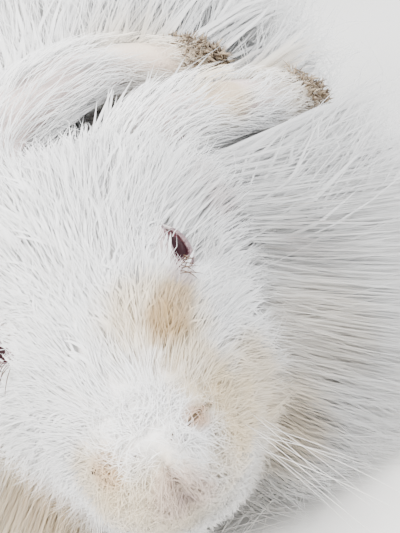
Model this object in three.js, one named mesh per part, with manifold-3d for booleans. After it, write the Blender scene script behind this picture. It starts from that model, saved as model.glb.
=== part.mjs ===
// A long-coated white angora rabbit, life size, crouched at rest with its head low.
// Millimetres, +Z up, the floor at Z = 0, the nose towards -Y and the animal's left towards +X.
// The origin is on the floor, in the flat that the chest wool rests on.
import * as THREE from "three";
import { mergeVertices } from "three/addons/utils/BufferGeometryUtils.js";
import Module from "manifold-3d";

const wasm = await Module();
wasm.setup();

// Driving dimensions
const gap = 0.35; // left between two nodes that touch
const shortEdge = 0.003; // edges below this shrink to a point
const touchGap = 0.03; // opened where a surface touches itself
const coreShare = 0.45; // how far out of the skin the dense underwool reaches, as a share of the coat
const rootDepth = 0.22; // how far inside the underwool a lock starts, as a share of the coat
const noseY = -178; // the nose tip
const noseZ = 46;
const roundness = 0.9; // below 1 makes a cross-section fuller than an ellipse

// The trunk from throat to rump. Skin and hair tips each have: place along Y, half width, top and underside.
// The underside of the tips lies below the floor, so that cutting at the floor leaves a flat.
const trunk = [
  { skin: [-106, 6, 48, 38], tips: [-150, 26, 18, -10] },
  { skin: [-98, 26, 64, 22], tips: [-142, 78, 36, -14] },
  { skin: [-80, 34, 76, 12], tips: [-116, 98, 64, -16] },
  { skin: [-50, 42, 90, 8], tips: [-66, 110, 104, -18] },
  { skin: [-10, 48, 104, 6], tips: [-12, 118, 142, -18] },
  { skin: [35, 55, 120, 5], tips: [38, 121, 168, -18] },
  { skin: [80, 59, 128, 5], tips: [86, 121, 178, -18] },
  { skin: [118, 55, 118, 6], tips: [130, 112, 168, -18] },
  { skin: [142, 40, 92, 12], tips: [170, 88, 136, -16] },
  { skin: [152, 20, 70, 30], tips: [196, 52, 98, -12] },
  { skin: [155, 5, 55, 45], tips: [206, 12, 60, -4] },
];

// The head behind the nose tip: distance back, half width, top and underside over the nose height,
// then the coat's depth on the crown, on the cheeks and under the jaw.
const skull = [
  { back: 0, half: 5.5, top: 3, low: -8.5, crown: 1, cheek: 1, jaw: 1 },
  { back: 4, half: 11, top: 8.5, low: -15.5, crown: 1.5, cheek: 2, jaw: 2 },
  { back: 11, half: 14.5, top: 12, low: -19.5, crown: 2, cheek: 3, jaw: 4 },
  { back: 22, half: 17.5, top: 17, low: -23.5, crown: 3, cheek: 6, jaw: 8 },
  { back: 36, half: 20.5, top: 22.5, low: -27, crown: 6, cheek: 12, jaw: 12 },
  { back: 50, half: 23, top: 27.5, low: -29.5, crown: 13, cheek: 20, jaw: 15 },
  { back: 64, half: 24.5, top: 30.5, low: -30.5, crown: 18, cheek: 26, jaw: 15 },
  { back: 78, half: 23, top: 29.5, low: -28, crown: 19, cheek: 27, jaw: 14 },
  { back: 90, half: 17, top: 23, low: -20, crown: 18, cheek: 24, jaw: 12 },
  { back: 98, half: 6, top: 12, low: -8, crown: 14, cheek: 16, jaw: 10 },
];

// The eyes
const eyeRadius = 8.5;
const eyeBack = 47;
const eyeOut = 14.8;
const eyeUp = 14.5;
const eyeLook = new THREE.Vector3(0.9, -0.36, 0.22).normalize();
const lidThickness = 1.7;
const slitLength = 13;
const slitWidth = 4.4;
const slitRun = new THREE.Vector3(-0.14, -0.79, -0.77).normalize(); // from the back corner to the front one
const clearingRadius = 12; // of short hair round each eye
const clearingShare = 0.9; // of the coat's depth that is missing there
const lockClearing = 10.5; // kept free of locks round each eye

// The ears
const earRoom = 2.4; // kept clear round each ear where it presses into the coat
const earLength = [0, 0.12, 0.3, 0.5, 0.68, 0.82, 0.92, 0.98];
const earRadius = [6.5, 8, 10.2, 11, 10, 8, 5.6, 2.6];
const earThickness = 2.6;
const earWrap = THREE.MathUtils.degToRad(118); // half of the angle that the shell goes round its hollow
const earCurves = {
  left: [[11, 76, 14], [15, 81, 23], [34, 92, 38], [64, 112, 30], [92, 134, 8]],
  right: [[-11, 76, 14], [-15, 81, 23], [-8, 98, 46], [24, 116, 52], [64, 128, 38]],
};
const earOpening = {
  left: new THREE.Vector3(0.1, -0.85, -0.5),
  right: new THREE.Vector3(-0.1, -0.75, -0.65),
};

// The feet and the haunches
const pawHalf = 9.5;
const footHalf = 10.5;
const haunchCentre = [82, 100, 34];
const haunchRadii = [46, 50, 66];

// The tail
const tailCentre = [0, 179, 46];
const tailHalf = 7; // bare, at its widest
const tailCoat = 15;
const tailSink = 14; // how far its coat pulls its middle down

// Where the trunk is divided
const neckEnd = -62;
const frontEnd = 20;
const lean = gap * 1.7; // along Y, so that the slanted walls stay a gap apart
const wallSpine = 62; // the height of the middle of a dividing wall
const wallFlat = 58; // the radius of its flat middle
const wallSlope = 1.2; // how far it leans back for each part outwards
const wallReach = 260;

const materials = {
  wool: { color: 0xf3efe9, roughness: 0.95 },
  face: { color: 0xf1e6da, roughness: 0.9 },
  ear: { color: 0xeadfd3, roughness: 0.85 },
  eye: { color: 0x4a1a1c, roughness: 0.15 },
};

// The locks. Each kind has the spacing of its rows and of the locks in a row, then a lock's length,
// half width and half thickness, how far it falls sideways for each part that it runs back, and its sway.
const trunkLocks = { from: 1.1, to: 9, row: 37, spacing: 43 };
Object.assign(trunkLocks, { length: 66, half: 21, thick: 6.5, fall: 0.75, sway: 9 });
const ruffLocks = { from: 0.35, to: 1.6, row: 26, spacing: 27 };
Object.assign(ruffLocks, { length: 12, half: 13, thick: 5, fall: 0.4, sway: 8 });
const headLocks = { from: 2.7, to: 7.4, row: 13, spacing: 18 };
Object.assign(headLocks, { length: 28, half: 9.2, thick: 3.2, fall: 0.55, sway: 4 });
const tailLocks = { from: 1.3, to: 3.3, row: 15, spacing: 25 };
Object.assign(tailLocks, { length: 22, half: 9.5, thick: 3.5, fall: 0.3, sway: 3 });
const lockStations = [0, 0.42, 0.8]; // along a lock, with its point at 1
const lockWidths = [0.75, 1, 0.62];
const lockThickness = [1, 1, 0.6];
const ruffRoom = 4; // kept clear over the ruff by the locks of the head
const tailRoom = 2; // round the tail's form, for its locks
const rootRise = 8; // a lock roots at least this high over the floor
const endRoom = 0.9; // stations that the locks of the head stop short of its hind end

// A repeatable draw between -1 and 1.
let seed = 24;
function draw() {
  seed = (seed * 1664525 + 1013904223) % 4294967296;
  return (2 * seed) / 4294967296 - 1;
}

// A smooth curve through the stations: cubic pieces, their slope at a station that between its neighbours.
function smooth(values, at) {
  const last = values.length - 1;
  const i = Math.min(Math.max(Math.floor(at), 0), last - 1);
  const t = Math.min(Math.max(at - i, 0), 1);
  const a = values[i];
  const b = values[i + 1];
  const slopeA = i > 0 ? (b - values[i - 1]) / 2 : b - a;
  const slopeB = i < last - 1 ? (values[i + 2] - a) / 2 : b - a;
  const ease = t * t * (3 - 2 * t);
  const stay = 1 - t;
  return a + (b - a) * ease + t * stay * (stay * slopeA - t * slopeB);
}

// One point of an oval cross-section, by its half width, top and underside. The angle runs from the top.
function oval(y, half, top, low, angle) {
  const full = (v) => Math.sign(v) * Math.abs(v) ** roundness;
  const middle = (top + low) / 2;
  const rise = (top - low) / 2;
  return new THREE.Vector3(half * full(Math.sin(angle)), y, middle + rise * full(Math.cos(angle)));
}

// A point of the trunk by station number, angle from the top, and share of the coat.
function trunkPoint(station, angle, share) {
  const row = (kind) => [0, 1, 2, 3].map((k) => smooth(trunk.map((one) => one[kind][k]), station));
  const skin = row("skin");
  const tips = row("tips");
  const mixed = skin.map((value, k) => value + (tips[k] - value) * share);
  return oval(...mixed, angle);
}

// The coat's depth on the head: crown on top, cheek at the sides, jaw below, and short round the eyes.
function headCoat(station, angle, point) {
  const depth = (name) => smooth(skull.map((one) => one[name]), station);
  const side = Math.abs(Math.sin(angle));
  const end = Math.cos(angle) > 0 ? depth("crown") : depth("jaw");
  const mixed = end + (depth("cheek") - end) * side * side;
  const eye = eyeCentre(Math.sign(point.x) || 1).addScaledVector(lookOf(Math.sign(point.x) || 1), eyeRadius);
  const near = Math.exp(-((point.distanceTo(eye) / clearingRadius) ** 2));
  return mixed * (1 - clearingShare * near);
}

function headPoint(station, angle, share, grow = 0) {
  const value = (name) => smooth(skull.map((one) => one[name]), station);
  const y = noseY + value("back");
  const point = oval(y, value("half"), noseZ + value("top"), noseZ + value("low"), angle);
  const outward = new THREE.Vector3(Math.sin(angle), 0, Math.cos(angle));
  const depth = headCoat(station, angle, point) * share + grow;
  point.addScaledVector(outward, depth);
  const last = skull.length - 1;
  if (station < 1) point.y -= depth * (1 - station);
  if (station > last - 1) point.y += depth * (station - last + 1);
  return point;
}

function eyeCentre(side) {
  return new THREE.Vector3(side * eyeOut, noseY + eyeBack, noseZ + eyeUp);
}

function lookOf(side) {
  return new THREE.Vector3(side * eyeLook.x, eyeLook.y, eyeLook.z);
}

// A closed body through rings of points. Each end is closed on its middle, or on a given end point.
function loft(rings, start = null, end = null) {
  const around = rings[0].length;
  const middle = (ring) => ring.reduce((sum, p) => sum.add(p), new THREE.Vector3()).divideScalar(around);
  const points = rings.flat();
  const first = points.push(start ?? middle(rings[0])) - 1;
  const last = points.push(end ?? middle(rings[rings.length - 1])) - 1;
  const faces = [];
  for (let i = 0; i < around; i += 1) {
    const next = (i + 1) % around;
    faces.push([first, next, i]);
    const top = (rings.length - 1) * around;
    faces.push([last, top + i, top + next]);
    for (let r = 0; r < rings.length - 1; r += 1) {
      const a = r * around + i;
      const b = r * around + next;
      faces.push([a, b, b + around], [a, b + around, a + around]);
    }
  }
  return solid(points, faces);
}

function volumeOf(points, faces) {
  let sum = 0;
  for (const [a, b, c] of faces) sum += points[a].dot(points[b].clone().cross(points[c]));
  return sum / 6;
}

function solid(points, faces) {
  const outward = volumeOf(points, faces) > 0 ? faces : faces.map(([a, b, c]) => [a, c, b]);
  const vertProperties = new Float32Array(points.flatMap((p) => [p.x, p.y, p.z]));
  return new wasm.Manifold(
    new wasm.Mesh({ numProp: 3, vertProperties, triVerts: new Uint32Array(outward.flat()) }),
  );
}

function solidOf(geometry) {
  const bare = geometry.clone();
  bare.deleteAttribute("normal");
  bare.deleteAttribute("uv");
  const merged = mergeVertices(bare, 1e-4);
  return new wasm.Manifold(
    new wasm.Mesh({
      numProp: 3,
      vertProperties: new Float32Array(merged.attributes.position.array),
      triVerts: new Uint32Array(merged.index.array),
    }),
  );
}

// An ellipsoid by its centre, three half axes and an optional turn.
function ellipsoid(centre, radii, turn = new THREE.Quaternion(), around = 12, rows = 6) {
  const geometry = new THREE.SphereGeometry(1, around, rows);
  const place = new THREE.Matrix4().compose(centre, turn, new THREE.Vector3(...radii));
  return solidOf(geometry.applyMatrix4(place));
}

function box(low, high) {
  const size = high.map((value, k) => value - low[k]);
  const geometry = new THREE.BoxGeometry(...size);
  geometry.translate(...low.map((value, k) => value + size[k] / 2));
  return solidOf(geometry);
}

const aboveFloor = box([-300, -400, 0], [300, 400, 400]);

function largest(manifold) {
  const pieces = manifold.decompose();
  return pieces.reduce((best, piece) => (piece.volume() > best.volume() ? piece : best));
}

// The trunk as one body, its coat out to the given share. Growing pushes it out on every side.
function trunkForm(share, grow = 0) {
  const rows = 13;
  const around = 18;
  const rings = [];
  for (let r = 0; r <= rows; r += 1) {
    const station = ((trunk.length - 1) * r) / rows;
    const ring = [];
    for (let i = 0; i < around; i += 1) {
      const angle = (2 * Math.PI * i) / around;
      const outward = new THREE.Vector3(Math.sin(angle), 0, Math.cos(angle));
      ring.push(trunkPoint(station, angle, share).addScaledVector(outward, grow));
    }
    rings.push(ring);
  }
  return loft(rings).intersect(aboveFloor);
}

function headForm(share, grow = 0) {
  const rows = 15;
  const around = 20;
  const rings = [];
  for (let r = 0; r <= rows; r += 1) {
    const station = ((skull.length - 1) * r) / rows;
    const ring = [];
    for (let i = 0; i < around; i += 1) {
      ring.push(headPoint(station, (2 * Math.PI * i) / around, share, grow));
    }
    rings.push(ring);
  }
  return loft(rings).intersect(aboveFloor);
}

// The whisker pads of the split upper lip, and the lower lip below them.
function lips(grow = 0) {
  const pad = (side) =>
    ellipsoid(new THREE.Vector3(side * 5.6, noseY + 6.5, noseZ - 8), [7.4, 8, 7].map((r) => r + grow));
  const lower = ellipsoid(new THREE.Vector3(0, noseY + 13, noseZ - 16.5), [7.5, 8.5, 5].map((r) => r + grow));
  return pad(1).add(pad(-1)).add(lower);
}

// A groove with a square section along a curve. It is as deep on either side of the curve as it is told.
function groove(points, height, depth) {
  const curve = new THREE.CatmullRomCurve3(points);
  const steps = 9;
  const rings = Array.from({ length: steps + 1 }, (_, i) => {
    const run = curve.getTangentAt(i / steps);
    const up = new THREE.Vector3(0, -run.z, run.y).normalize();
    const inward = new THREE.Vector3().crossVectors(run, up).normalize();
    const corner = (a, b) =>
      curve.getPointAt(i / steps).addScaledVector(up, (a * height) / 2).addScaledVector(inward, b * depth);
    return [corner(1, 1), corner(1, -1), corner(-1, -1), corner(-1, 1)];
  });
  return loft(rings);
}

// The mouth line runs back and down on both sides from the split of the upper lip.
function mouthLine() {
  const at = (x, back, up) => new THREE.Vector3(x, noseY + back, noseZ + up);
  const line = [at(-15.5, 25, -15), at(-12.5, 14, -14), at(-7, 3.5, -14), at(0, 0.5, -13.4)];
  const mirrored = line.slice(0, 3).reverse().map((p) => new THREE.Vector3(-p.x, p.y, p.z));
  const split = box([-0.6, noseY - 6, noseZ - 13], [0.6, noseY + 1.5, noseZ - 3]);
  return groove([...line, ...mirrored], 1.2, 2).add(split);
}

function nostril(side) {
  const turn = new THREE.Quaternion().setFromEuler(new THREE.Euler(0, side * 0.62, side * 0.5));
  return ellipsoid(new THREE.Vector3(side * 6.2, noseY + 1.2, noseZ + 0.6), [4.4, 3.2, 1], turn, 14, 8);
}

function eyeball(side, grow = 0) {
  const radius = eyeRadius + grow;
  return ellipsoid(eyeCentre(side), [radius, radius, radius], new THREE.Quaternion(), 16, 8);
}

// The lids: a shell over the eyeball, open along a slit that runs forward and down to the tear corner.
function lids(side) {
  const radius = eyeRadius + lidThickness;
  return ellipsoid(eyeCentre(side), [radius, radius, radius], new THREE.Quaternion(), 16, 8);
}

function lidSlit(side) {
  const out = lookOf(side);
  const run = new THREE.Vector3(side * slitRun.x, slitRun.y, slitRun.z);
  run.addScaledVector(out, -run.dot(out)).normalize();
  const across = new THREE.Vector3().crossVectors(out, run);
  const turn = new THREE.Quaternion().setFromRotationMatrix(new THREE.Matrix4().makeBasis(run, across, out));
  const centre = eyeCentre(side).addScaledVector(out, eyeRadius + 1.5);
  return ellipsoid(centre, [slitLength / 2, slitWidth / 2, 4.5], turn, 18, 10);
}

// An ear along its curve: a cup in section, or a full round where it presses into the coat.
function ear(side, hollow, grow = 0) {
  const points = earCurves[side].map(([x, back, up]) => new THREE.Vector3(x, noseY + back, noseZ + up));
  const curve = new THREE.CatmullRomCurve3(points);
  const opening = earOpening[side].clone().normalize();
  const section = (at, radius) => {
    const centre = curve.getPointAt(at);
    const run = curve.getTangentAt(at);
    const front = opening.clone().addScaledVector(run, -opening.dot(run)).normalize();
    const across = new THREE.Vector3().crossVectors(run, front);
    const steps = hollow ? 9 : 16;
    const arc = (size, from, to) =>
      Array.from({ length: steps + 1 }, (_, i) => {
        const angle = from + ((to - from) * i) / steps;
        const flat = 0.78;
        return centre
          .clone()
          .addScaledVector(front, -Math.cos(angle) * size * flat)
          .addScaledVector(across, Math.sin(angle) * size);
      });
    if (!hollow) return arc(radius + grow, -Math.PI, Math.PI).slice(1);
    const wall = Math.min(earThickness, radius * 0.45);
    return [...arc(radius, -earWrap, earWrap), ...arc(radius - wall, earWrap, -earWrap)];
  };
  const rings = earLength.map((at, k) => section(at, earRadius[k]));
  return loft(rings, null, curve.getPointAt(1));
}

// A limb as round sections along a path of [x, y, z, half width, half height].
function limb(path, grow = 0) {
  const around = 10;
  const line = path.map(([x, y, z]) => new THREE.Vector3(x, y, z));
  const end = line.length - 1;
  line[0].addScaledVector(line[0].clone().sub(line[1]).normalize(), grow);
  line[end].addScaledVector(line[end].clone().sub(line[end - 1]).normalize(), grow);
  const rings = path.map(([, , , half, rise], k) => {
    const before = line[Math.max(k - 1, 0)];
    const after = line[Math.min(k + 1, end)];
    const run = after.clone().sub(before).normalize();
    const across = new THREE.Vector3(1, 0, 0);
    const up = new THREE.Vector3().crossVectors(across, run).normalize();
    return Array.from({ length: around }, (_, i) => {
      const angle = (2 * Math.PI * i) / around;
      return line[k]
        .clone()
        .addScaledVector(across, Math.cos(angle) * (half + grow))
        .addScaledVector(up, Math.sin(angle) * (rise + grow));
    });
  });
  return loft(rings).intersect(aboveFloor);
}

// The foreleg folds under the chest with its paw forward on the floor.
function foreleg(side, grow = 0) {
  const x = side * 23;
  const path = [
    [x, -66, 36, 9, 9],
    [x, -72, 30, 12, 12],
    [x, -92, 20, 12, 12],
    [x, -108, 9, pawHalf + 1, 11],
    [x, -122, 6, pawHalf + 1.5, 9.5],
    [x, -134, 5, pawHalf, 8.5],
    [x, -142, 4, pawHalf * 0.7, 6],
    [x, -145, 3.5, pawHalf * 0.3, 3],
  ];
  return limb(path, grow);
}

// The long hind foot lies flat on the floor along the haunch.
function hindFoot(side, grow = 0) {
  const x = side * 57;
  const path = [
    [x, 136, 7, 6, 6],
    [x, 130, 8, 9, 9],
    [x, 105, 8, footHalf, 10],
    [x, 70, 6, footHalf, 8.5],
    [x, 48, 5, footHalf + 1.5, 8],
    [x, 37, 4, footHalf, 6.5],
    [x, 31, 3.5, footHalf * 0.6, 4.5],
  ];
  return limb(path, grow);
}

// The haunch is the part of the trunk that lies in this rounded space at each side.
function haunchSpace(side, grow = 0) {
  const [x, y, z] = haunchCentre;
  const radii = haunchRadii.map((r) => r + grow);
  return ellipsoid(new THREE.Vector3(side * x, y, z), radii, new THREE.Quaternion(), 16, 8);
}

// The tail lies against the rump. Its stations run from the root to the hind end.
function tailPoint(station, angle, share, grow = 0) {
  const half = tailHalf + tailCoat * share + grow;
  const polar = (Math.PI * (station + 0.2)) / 5.4;
  const [x, y, z] = tailCentre;
  const centre = new THREE.Vector3(x, y, z - tailSink * share);
  const drop = 0.5 * Math.cos(polar) * half;
  return centre.add(
    new THREE.Vector3(
      half * Math.sin(polar) * Math.sin(angle),
      -(half + 8) * Math.cos(polar),
      (half + 6) * Math.sin(polar) * Math.cos(angle) + drop,
    ),
  );
}

function tailForm(share, grow = 0) {
  const rings = Array.from({ length: 6 }, (_, r) =>
    Array.from({ length: 10 }, (_, i) => tailPoint(r, (i * Math.PI) / 5, share, grow)),
  );
  return loft(rings).intersect(aboveFloor);
}

// The space behind a dividing wall. The wall is flat near the spine and leans back with the hair outside it.
function spaceBehind(y) {
  const behind = 600;
  const profile = [
    new THREE.Vector2(0, y),
    new THREE.Vector2(wallFlat, y),
    new THREE.Vector2(wallReach, y + (wallReach - wallFlat) * wallSlope),
    new THREE.Vector2(wallReach, behind),
    new THREE.Vector2(0, behind),
  ];
  const geometry = new THREE.LatheGeometry(profile, 16);
  geometry.translate(0, 0, wallSpine);
  return solidOf(geometry);
}

const sides = [["left", 1], ["right", -1]];
const sum = (pieces) => pieces.reduce((all, piece) => all.add(piece));
const bothSides = (make) => sum(sides.map(([name, side]) => make(side, name)));

// A flat tapered lock. It starts inside the underwool, follows the lie and ends in a point at the tips.
// The place function gives a point by station, angle and share of the coat. The run is in those same units.
function lock(place, start, run, half, thick, tipShare) {
  const root = coreShare - rootDepth;
  const at = (s) => {
    const share = root + (tipShare - root) * s ** 0.8;
    return place(start.station + run.station * s, start.angle + run.angle * s + run.sway * s * s, share);
  };
  const rings = lockStations.map((s, k) => {
    const centre = at(s);
    const along = at(s + 0.05).sub(centre).normalize();
    const station = start.station + run.station * s;
    const angle = start.angle + run.angle * s + run.sway * s * s;
    const outward = place(station, angle, 1).sub(place(station, angle, 0.3)).normalize();
    const across = new THREE.Vector3().crossVectors(along, outward).normalize();
    const up = new THREE.Vector3().crossVectors(across, along);
    const wide = half * lockWidths[k];
    const deep = thick * lockThickness[k];
    return [
      centre.clone().addScaledVector(across, wide),
      centre.clone().addScaledVector(up, deep),
      centre.clone().addScaledVector(across, -wide),
    ];
  });
  return loft(rings, null, at(1));
}

// How far the coat's surface goes at a place for one station and for one radian.
function scaleAt(place, station, angle) {
  const here = place(station, angle, 0.7);
  const perStation = place(station + 0.2, angle, 0.7).distanceTo(here) / 0.2;
  const perRadian = place(station, angle + 0.1, 0.7).distanceTo(here) / 0.1;
  return { perStation, perRadian };
}

// One row of locks round the body, each with its own small changes. The keep test leaves some roots bare.
function lockRow(place, kind, station, row, keep) {
  const around = Array.from({ length: 24 }, (_, i) => place(station, (i * Math.PI) / 12, 0.7));
  const girth = around.reduce((total, p, i) => total + p.distanceTo(around[(i + 1) % 24]), 0);
  const count = Math.max(6, Math.round(girth / kind.spacing));
  const pieces = [];
  for (let i = 0; i < count; i += 1) {
    const turn = ((i + (row % 2) / 2 + 0.12 * draw()) * 2 * Math.PI) / count;
    const start = { station: station + 0.06 * draw(), angle: Math.atan2(Math.sin(turn), Math.cos(turn)) };
    const { perStation, perRadian } = scaleAt(place, start.station, start.angle);
    const fall = kind.fall * Math.sin(start.angle);
    const stretch = (kind.length * (1 + 0.15 * draw())) / Math.hypot(1, fall);
    const run = {
      station: stretch / perStation,
      angle: (fall * stretch) / perRadian,
      sway: (kind.sway * draw()) / perRadian,
    };
    const half = kind.half * (1 + 0.12 * draw());
    const tipShare = 0.97 + 0.04 * draw();
    if (keep(start, run)) pieces.push(lock(place, start, run, half, kind.thick, tipShare));
  }
  return pieces;
}

// Rows of locks over a coat, staggered from row to row.
function coat(place, kind, keep) {
  const pieces = [];
  let station = kind.from;
  for (let row = 0; station < kind.to; row += 1) {
    pieces.push(...lockRow(place, kind, station, row, keep));
    station += kind.row / scaleAt(place, station, Math.PI / 2).perStation;
  }
  return pieces;
}

const offTheFloor = (start) => trunkPoint(start.station, start.angle, 0.5).z > rootRise;
const inTheRuff = (start) => Math.cos(start.angle) < 0.75 && offTheFloor(start);
const trunkPieces = [
  ...coat(trunkPoint, trunkLocks, offTheFloor),
  ...coat(trunkPoint, ruffLocks, inTheRuff),
];
const headPieces = coat(headPoint, headLocks, (start, run) => {
  const clear = [0, 0.35, 0.7, 1].every((s) => {
    const point = headPoint(start.station + run.station * s, start.angle + run.angle * s, 0.5);
    const side = Math.sign(point.x) || 1;
    return point.distanceTo(eyeCentre(side).addScaledVector(lookOf(side), eyeRadius)) > lockClearing;
  });
  return clear && start.station + run.station < skull.length - endRoom;
});
const tailPieces = coat(tailPoint, tailLocks, () => true);

const earSpace = bothSides((side, name) => ear(name, false, earRoom));
const earCutter = earSpace.subtract(headForm(0));
const forelegCutter = bothSides((side) => foreleg(side, gap));

function head() {
  const outside = sum(headPieces).subtract(trunkForm(1, ruffRoom)).intersect(aboveFloor);
  const flesh = sum([headForm(coreShare), lips(), bothSides(lids), outside]);
  const openings = sum([
    bothSides((side) => eyeball(side, gap)),
    bothSides(lidSlit),
    bothSides(nostril),
    mouthLine(),
    earCutter,
    forelegCutter,
  ]);
  return largest(flesh.subtract(openings));
}

const nodes = {};
nodes.head = head();
for (const [name, side] of sides) {
  nodes[`eye_${name}`] = eyeball(side);
  nodes[`ear_${name}`] = largest(ear(name, true).subtract(headForm(0, gap)));
  nodes[`foreleg_${name}`] = foreleg(side);
}
nodes.tail = largest(sum([tailForm(coreShare), ...tailPieces]).intersect(tailForm(1, tailRoom - gap)));
const headSpace = sum([headForm(coreShare, gap), lips(gap), earSpace]);
const whole = trunkForm(coreShare)
  .add(sum(trunkPieces))
  .subtract(headSpace)
  .subtract(forelegCutter)
  .subtract(tailForm(1, tailRoom))
  .intersect(aboveFloor);
const haunches = bothSides((side) => haunchSpace(side, gap)).add(bothSides((side) => hindFoot(side, gap)));
const middle = whole.subtract(haunches);
for (const [name, side] of sides) {
  nodes[`hindleg_${name}`] = largest(whole.intersect(haunchSpace(side)).add(hindFoot(side)));
}
nodes.neck = largest(middle.subtract(spaceBehind(neckEnd)));
nodes.torso_front = largest(middle.intersect(spaceBehind(neckEnd + lean)).subtract(spaceBehind(frontEnd)));
nodes.torso_rear = largest(middle.intersect(spaceBehind(frontEnd + lean)));

// Short edges shrink to a point. The triangles that this leaves without an area go, and so do two
// that lie back to back.
function contracted(points, faces) {
  const same = points.map((_, i) => i);
  const root = (i) => (same[i] === i ? i : root(same[i]));
  for (const face of faces) {
    face.forEach((a, k) => {
      const b = face[(k + 1) % 3];
      if (points[a].distanceTo(points[b]) < shortEdge) same[root(a)] = root(b);
    });
  }
  const kept = new Map();
  for (const face of faces.map((one) => one.map(root))) {
    const key = [...face].sort((a, b) => a - b).join();
    if (new Set(face).size < 3) continue;
    if (kept.has(key)) kept.delete(key);
    else kept.set(key, face);
  }
  return [...kept.values()];
}

// Where the surface touches itself, two points share one place. Each moves a little into its own faces.
function parted(points, faces) {
  const around = new Map();
  for (const face of faces) {
    for (const i of face) around.set(i, [...(around.get(i) ?? []), ...face]);
  }
  const used = [...around.keys()].sort((a, b) => points[a].x - points[b].x);
  const touching = new Set();
  used.forEach((a, rank) => {
    for (let next = rank + 1; next < used.length; next += 1) {
      const b = used[next];
      if (points[b].x - points[a].x > shortEdge) break;
      if (points[a].distanceTo(points[b]) < shortEdge) [a, b].forEach((i) => touching.add(i));
    }
  });
  const moves = [...touching].map((i) => {
    const mean = around.get(i).reduce((total, k) => total.add(points[k]), new THREE.Vector3());
    return [i, mean.divideScalar(around.get(i).length).sub(points[i]).setLength(touchGap)];
  });
  for (const [i, move] of moves) points[i].add(move);
  return moves.length;
}

function cleaned(manifold) {
  const data = manifold.getMesh();
  const points = Array.from({ length: data.vertProperties.length / 3 }, (_, i) =>
    new THREE.Vector3().fromArray(data.vertProperties, 3 * i),
  );
  const corners = Array.from({ length: data.triVerts.length / 3 }, (_, i) =>
    Array.from(data.triVerts.slice(3 * i, 3 * i + 3)),
  );
  const faces = contracted(points, corners);
  for (let round = 0; round < 5 && parted(points, faces) > 0; round += 1);
  return { points, faces };
}

function meshOf(name, manifold) {
  const { points, faces } = cleaned(manifold);
  const geometry = new THREE.BufferGeometry().setFromPoints(faces.flat().map((i) => points[i]));
  geometry.computeVertexNormals();
  const kind = ["head", "ear", "eye"].find((word) => name.startsWith(word));
  const look = { head: materials.face, ear: materials.ear, eye: materials.eye }[kind] ?? materials.wool;
  const mesh = new THREE.Mesh(geometry, new THREE.MeshStandardMaterial({ ...look, metalness: 0 }));
  mesh.name = name;
  return mesh;
}

const group = new THREE.Group();
for (const [name, manifold] of Object.entries(nodes)) group.add(meshOf(name, manifold));

export default group;
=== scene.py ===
# %% [markdown]
# # A long-coated white rabbit, close up
# The rabbit crouches with its head low and its ears laid back over the wool of its neck. The picture is
# taken from just in front of the nose and a little above it, so the face fills the frame and the body is a
# white hill behind it. The scene is in metres, with the nose towards -Y, the animal's left towards +X and
# the floor at Z = 0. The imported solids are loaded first, and they say how large the animal is.

# %% Load the solids
import math
import time

import bpy
import numpy as np
from mathutils import Matrix


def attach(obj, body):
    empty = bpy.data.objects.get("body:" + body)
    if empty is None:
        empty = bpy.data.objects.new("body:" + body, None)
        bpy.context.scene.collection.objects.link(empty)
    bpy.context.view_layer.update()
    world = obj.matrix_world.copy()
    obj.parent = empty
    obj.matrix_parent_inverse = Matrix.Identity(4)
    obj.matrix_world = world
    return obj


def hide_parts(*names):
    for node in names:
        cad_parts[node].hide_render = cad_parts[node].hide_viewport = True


started = time.time()
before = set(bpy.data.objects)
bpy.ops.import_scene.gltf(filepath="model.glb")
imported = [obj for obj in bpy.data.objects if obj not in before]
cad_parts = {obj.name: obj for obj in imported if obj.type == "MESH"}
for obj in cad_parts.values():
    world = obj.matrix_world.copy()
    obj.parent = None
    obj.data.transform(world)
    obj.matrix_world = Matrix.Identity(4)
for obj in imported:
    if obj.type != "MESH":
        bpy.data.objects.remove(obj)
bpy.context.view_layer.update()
MM = 0.001

# %% [markdown]
# ## Camera, floor and light
# The camera is about sixteen centimetres in front of the nose and rolled by nearly thirty degrees. A long
# lens would flatten the face, so the lens has the focal length that the picture's own perspective shows.
# The light is that of a bright day with a white sky: one large soft source from the front, weaker ones from
# the side and from behind, and a pale world that fills the shadows. White wool needs shade between its
# locks more than it needs light.

# %% Camera
PICTURE = (400, 533)  # width and height in pixels
FOCAL = 900  # in those pixels
SENSOR = 36
CAMERA_PLACE = np.array([0.014, -0.317, 0.118])
CAMERA_LOOK = np.array([0.05, 0.95, -0.32])
CAMERA_UP = np.array([0.49, 0.25, 0.84])


def unit(v):
    """Each vector divided by its length."""
    return v / np.maximum(np.linalg.norm(v, axis=-1, keepdims=True), 1e-12)


def link(obj):
    bpy.context.scene.collection.objects.link(obj)
    return obj


def turned(look, up):
    """The turn whose -Z runs along look and whose Y is as near as can be to up."""
    back = -unit(look)
    right = unit(np.cross(up, back))
    return Matrix(np.column_stack([right, np.cross(back, right), back]).tolist())


camera = link(bpy.data.objects.new("camera", bpy.data.cameras.new("camera")))
camera.data.sensor_width = SENSOR
camera.data.lens = SENSOR * FOCAL / PICTURE[1]
camera.data.clip_start = 0.005
camera.matrix_world = Matrix.Translation(CAMERA_PLACE) @ turned(CAMERA_LOOK, CAMERA_UP).to_4x4()
bpy.context.scene.camera = camera
print("lens in mm", round(camera.data.lens, 1))

# %% Light
MIDDLE = np.array([0.0, -0.02, 0.06])  # what the lamps point at


def lamp(name, place, size, power, colour=(1, 1, 1)):
    light = bpy.data.lights.new(name, "AREA")
    light.shape = "DISK"
    light.size = size
    light.energy = power
    light.color = colour
    obj = link(bpy.data.objects.new(name, light))
    place = np.array(place)
    obj.matrix_world = Matrix.Translation(place) @ turned(MIDDLE - place, np.array([0, 0.1, 1])).to_4x4()
    return obj


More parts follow.
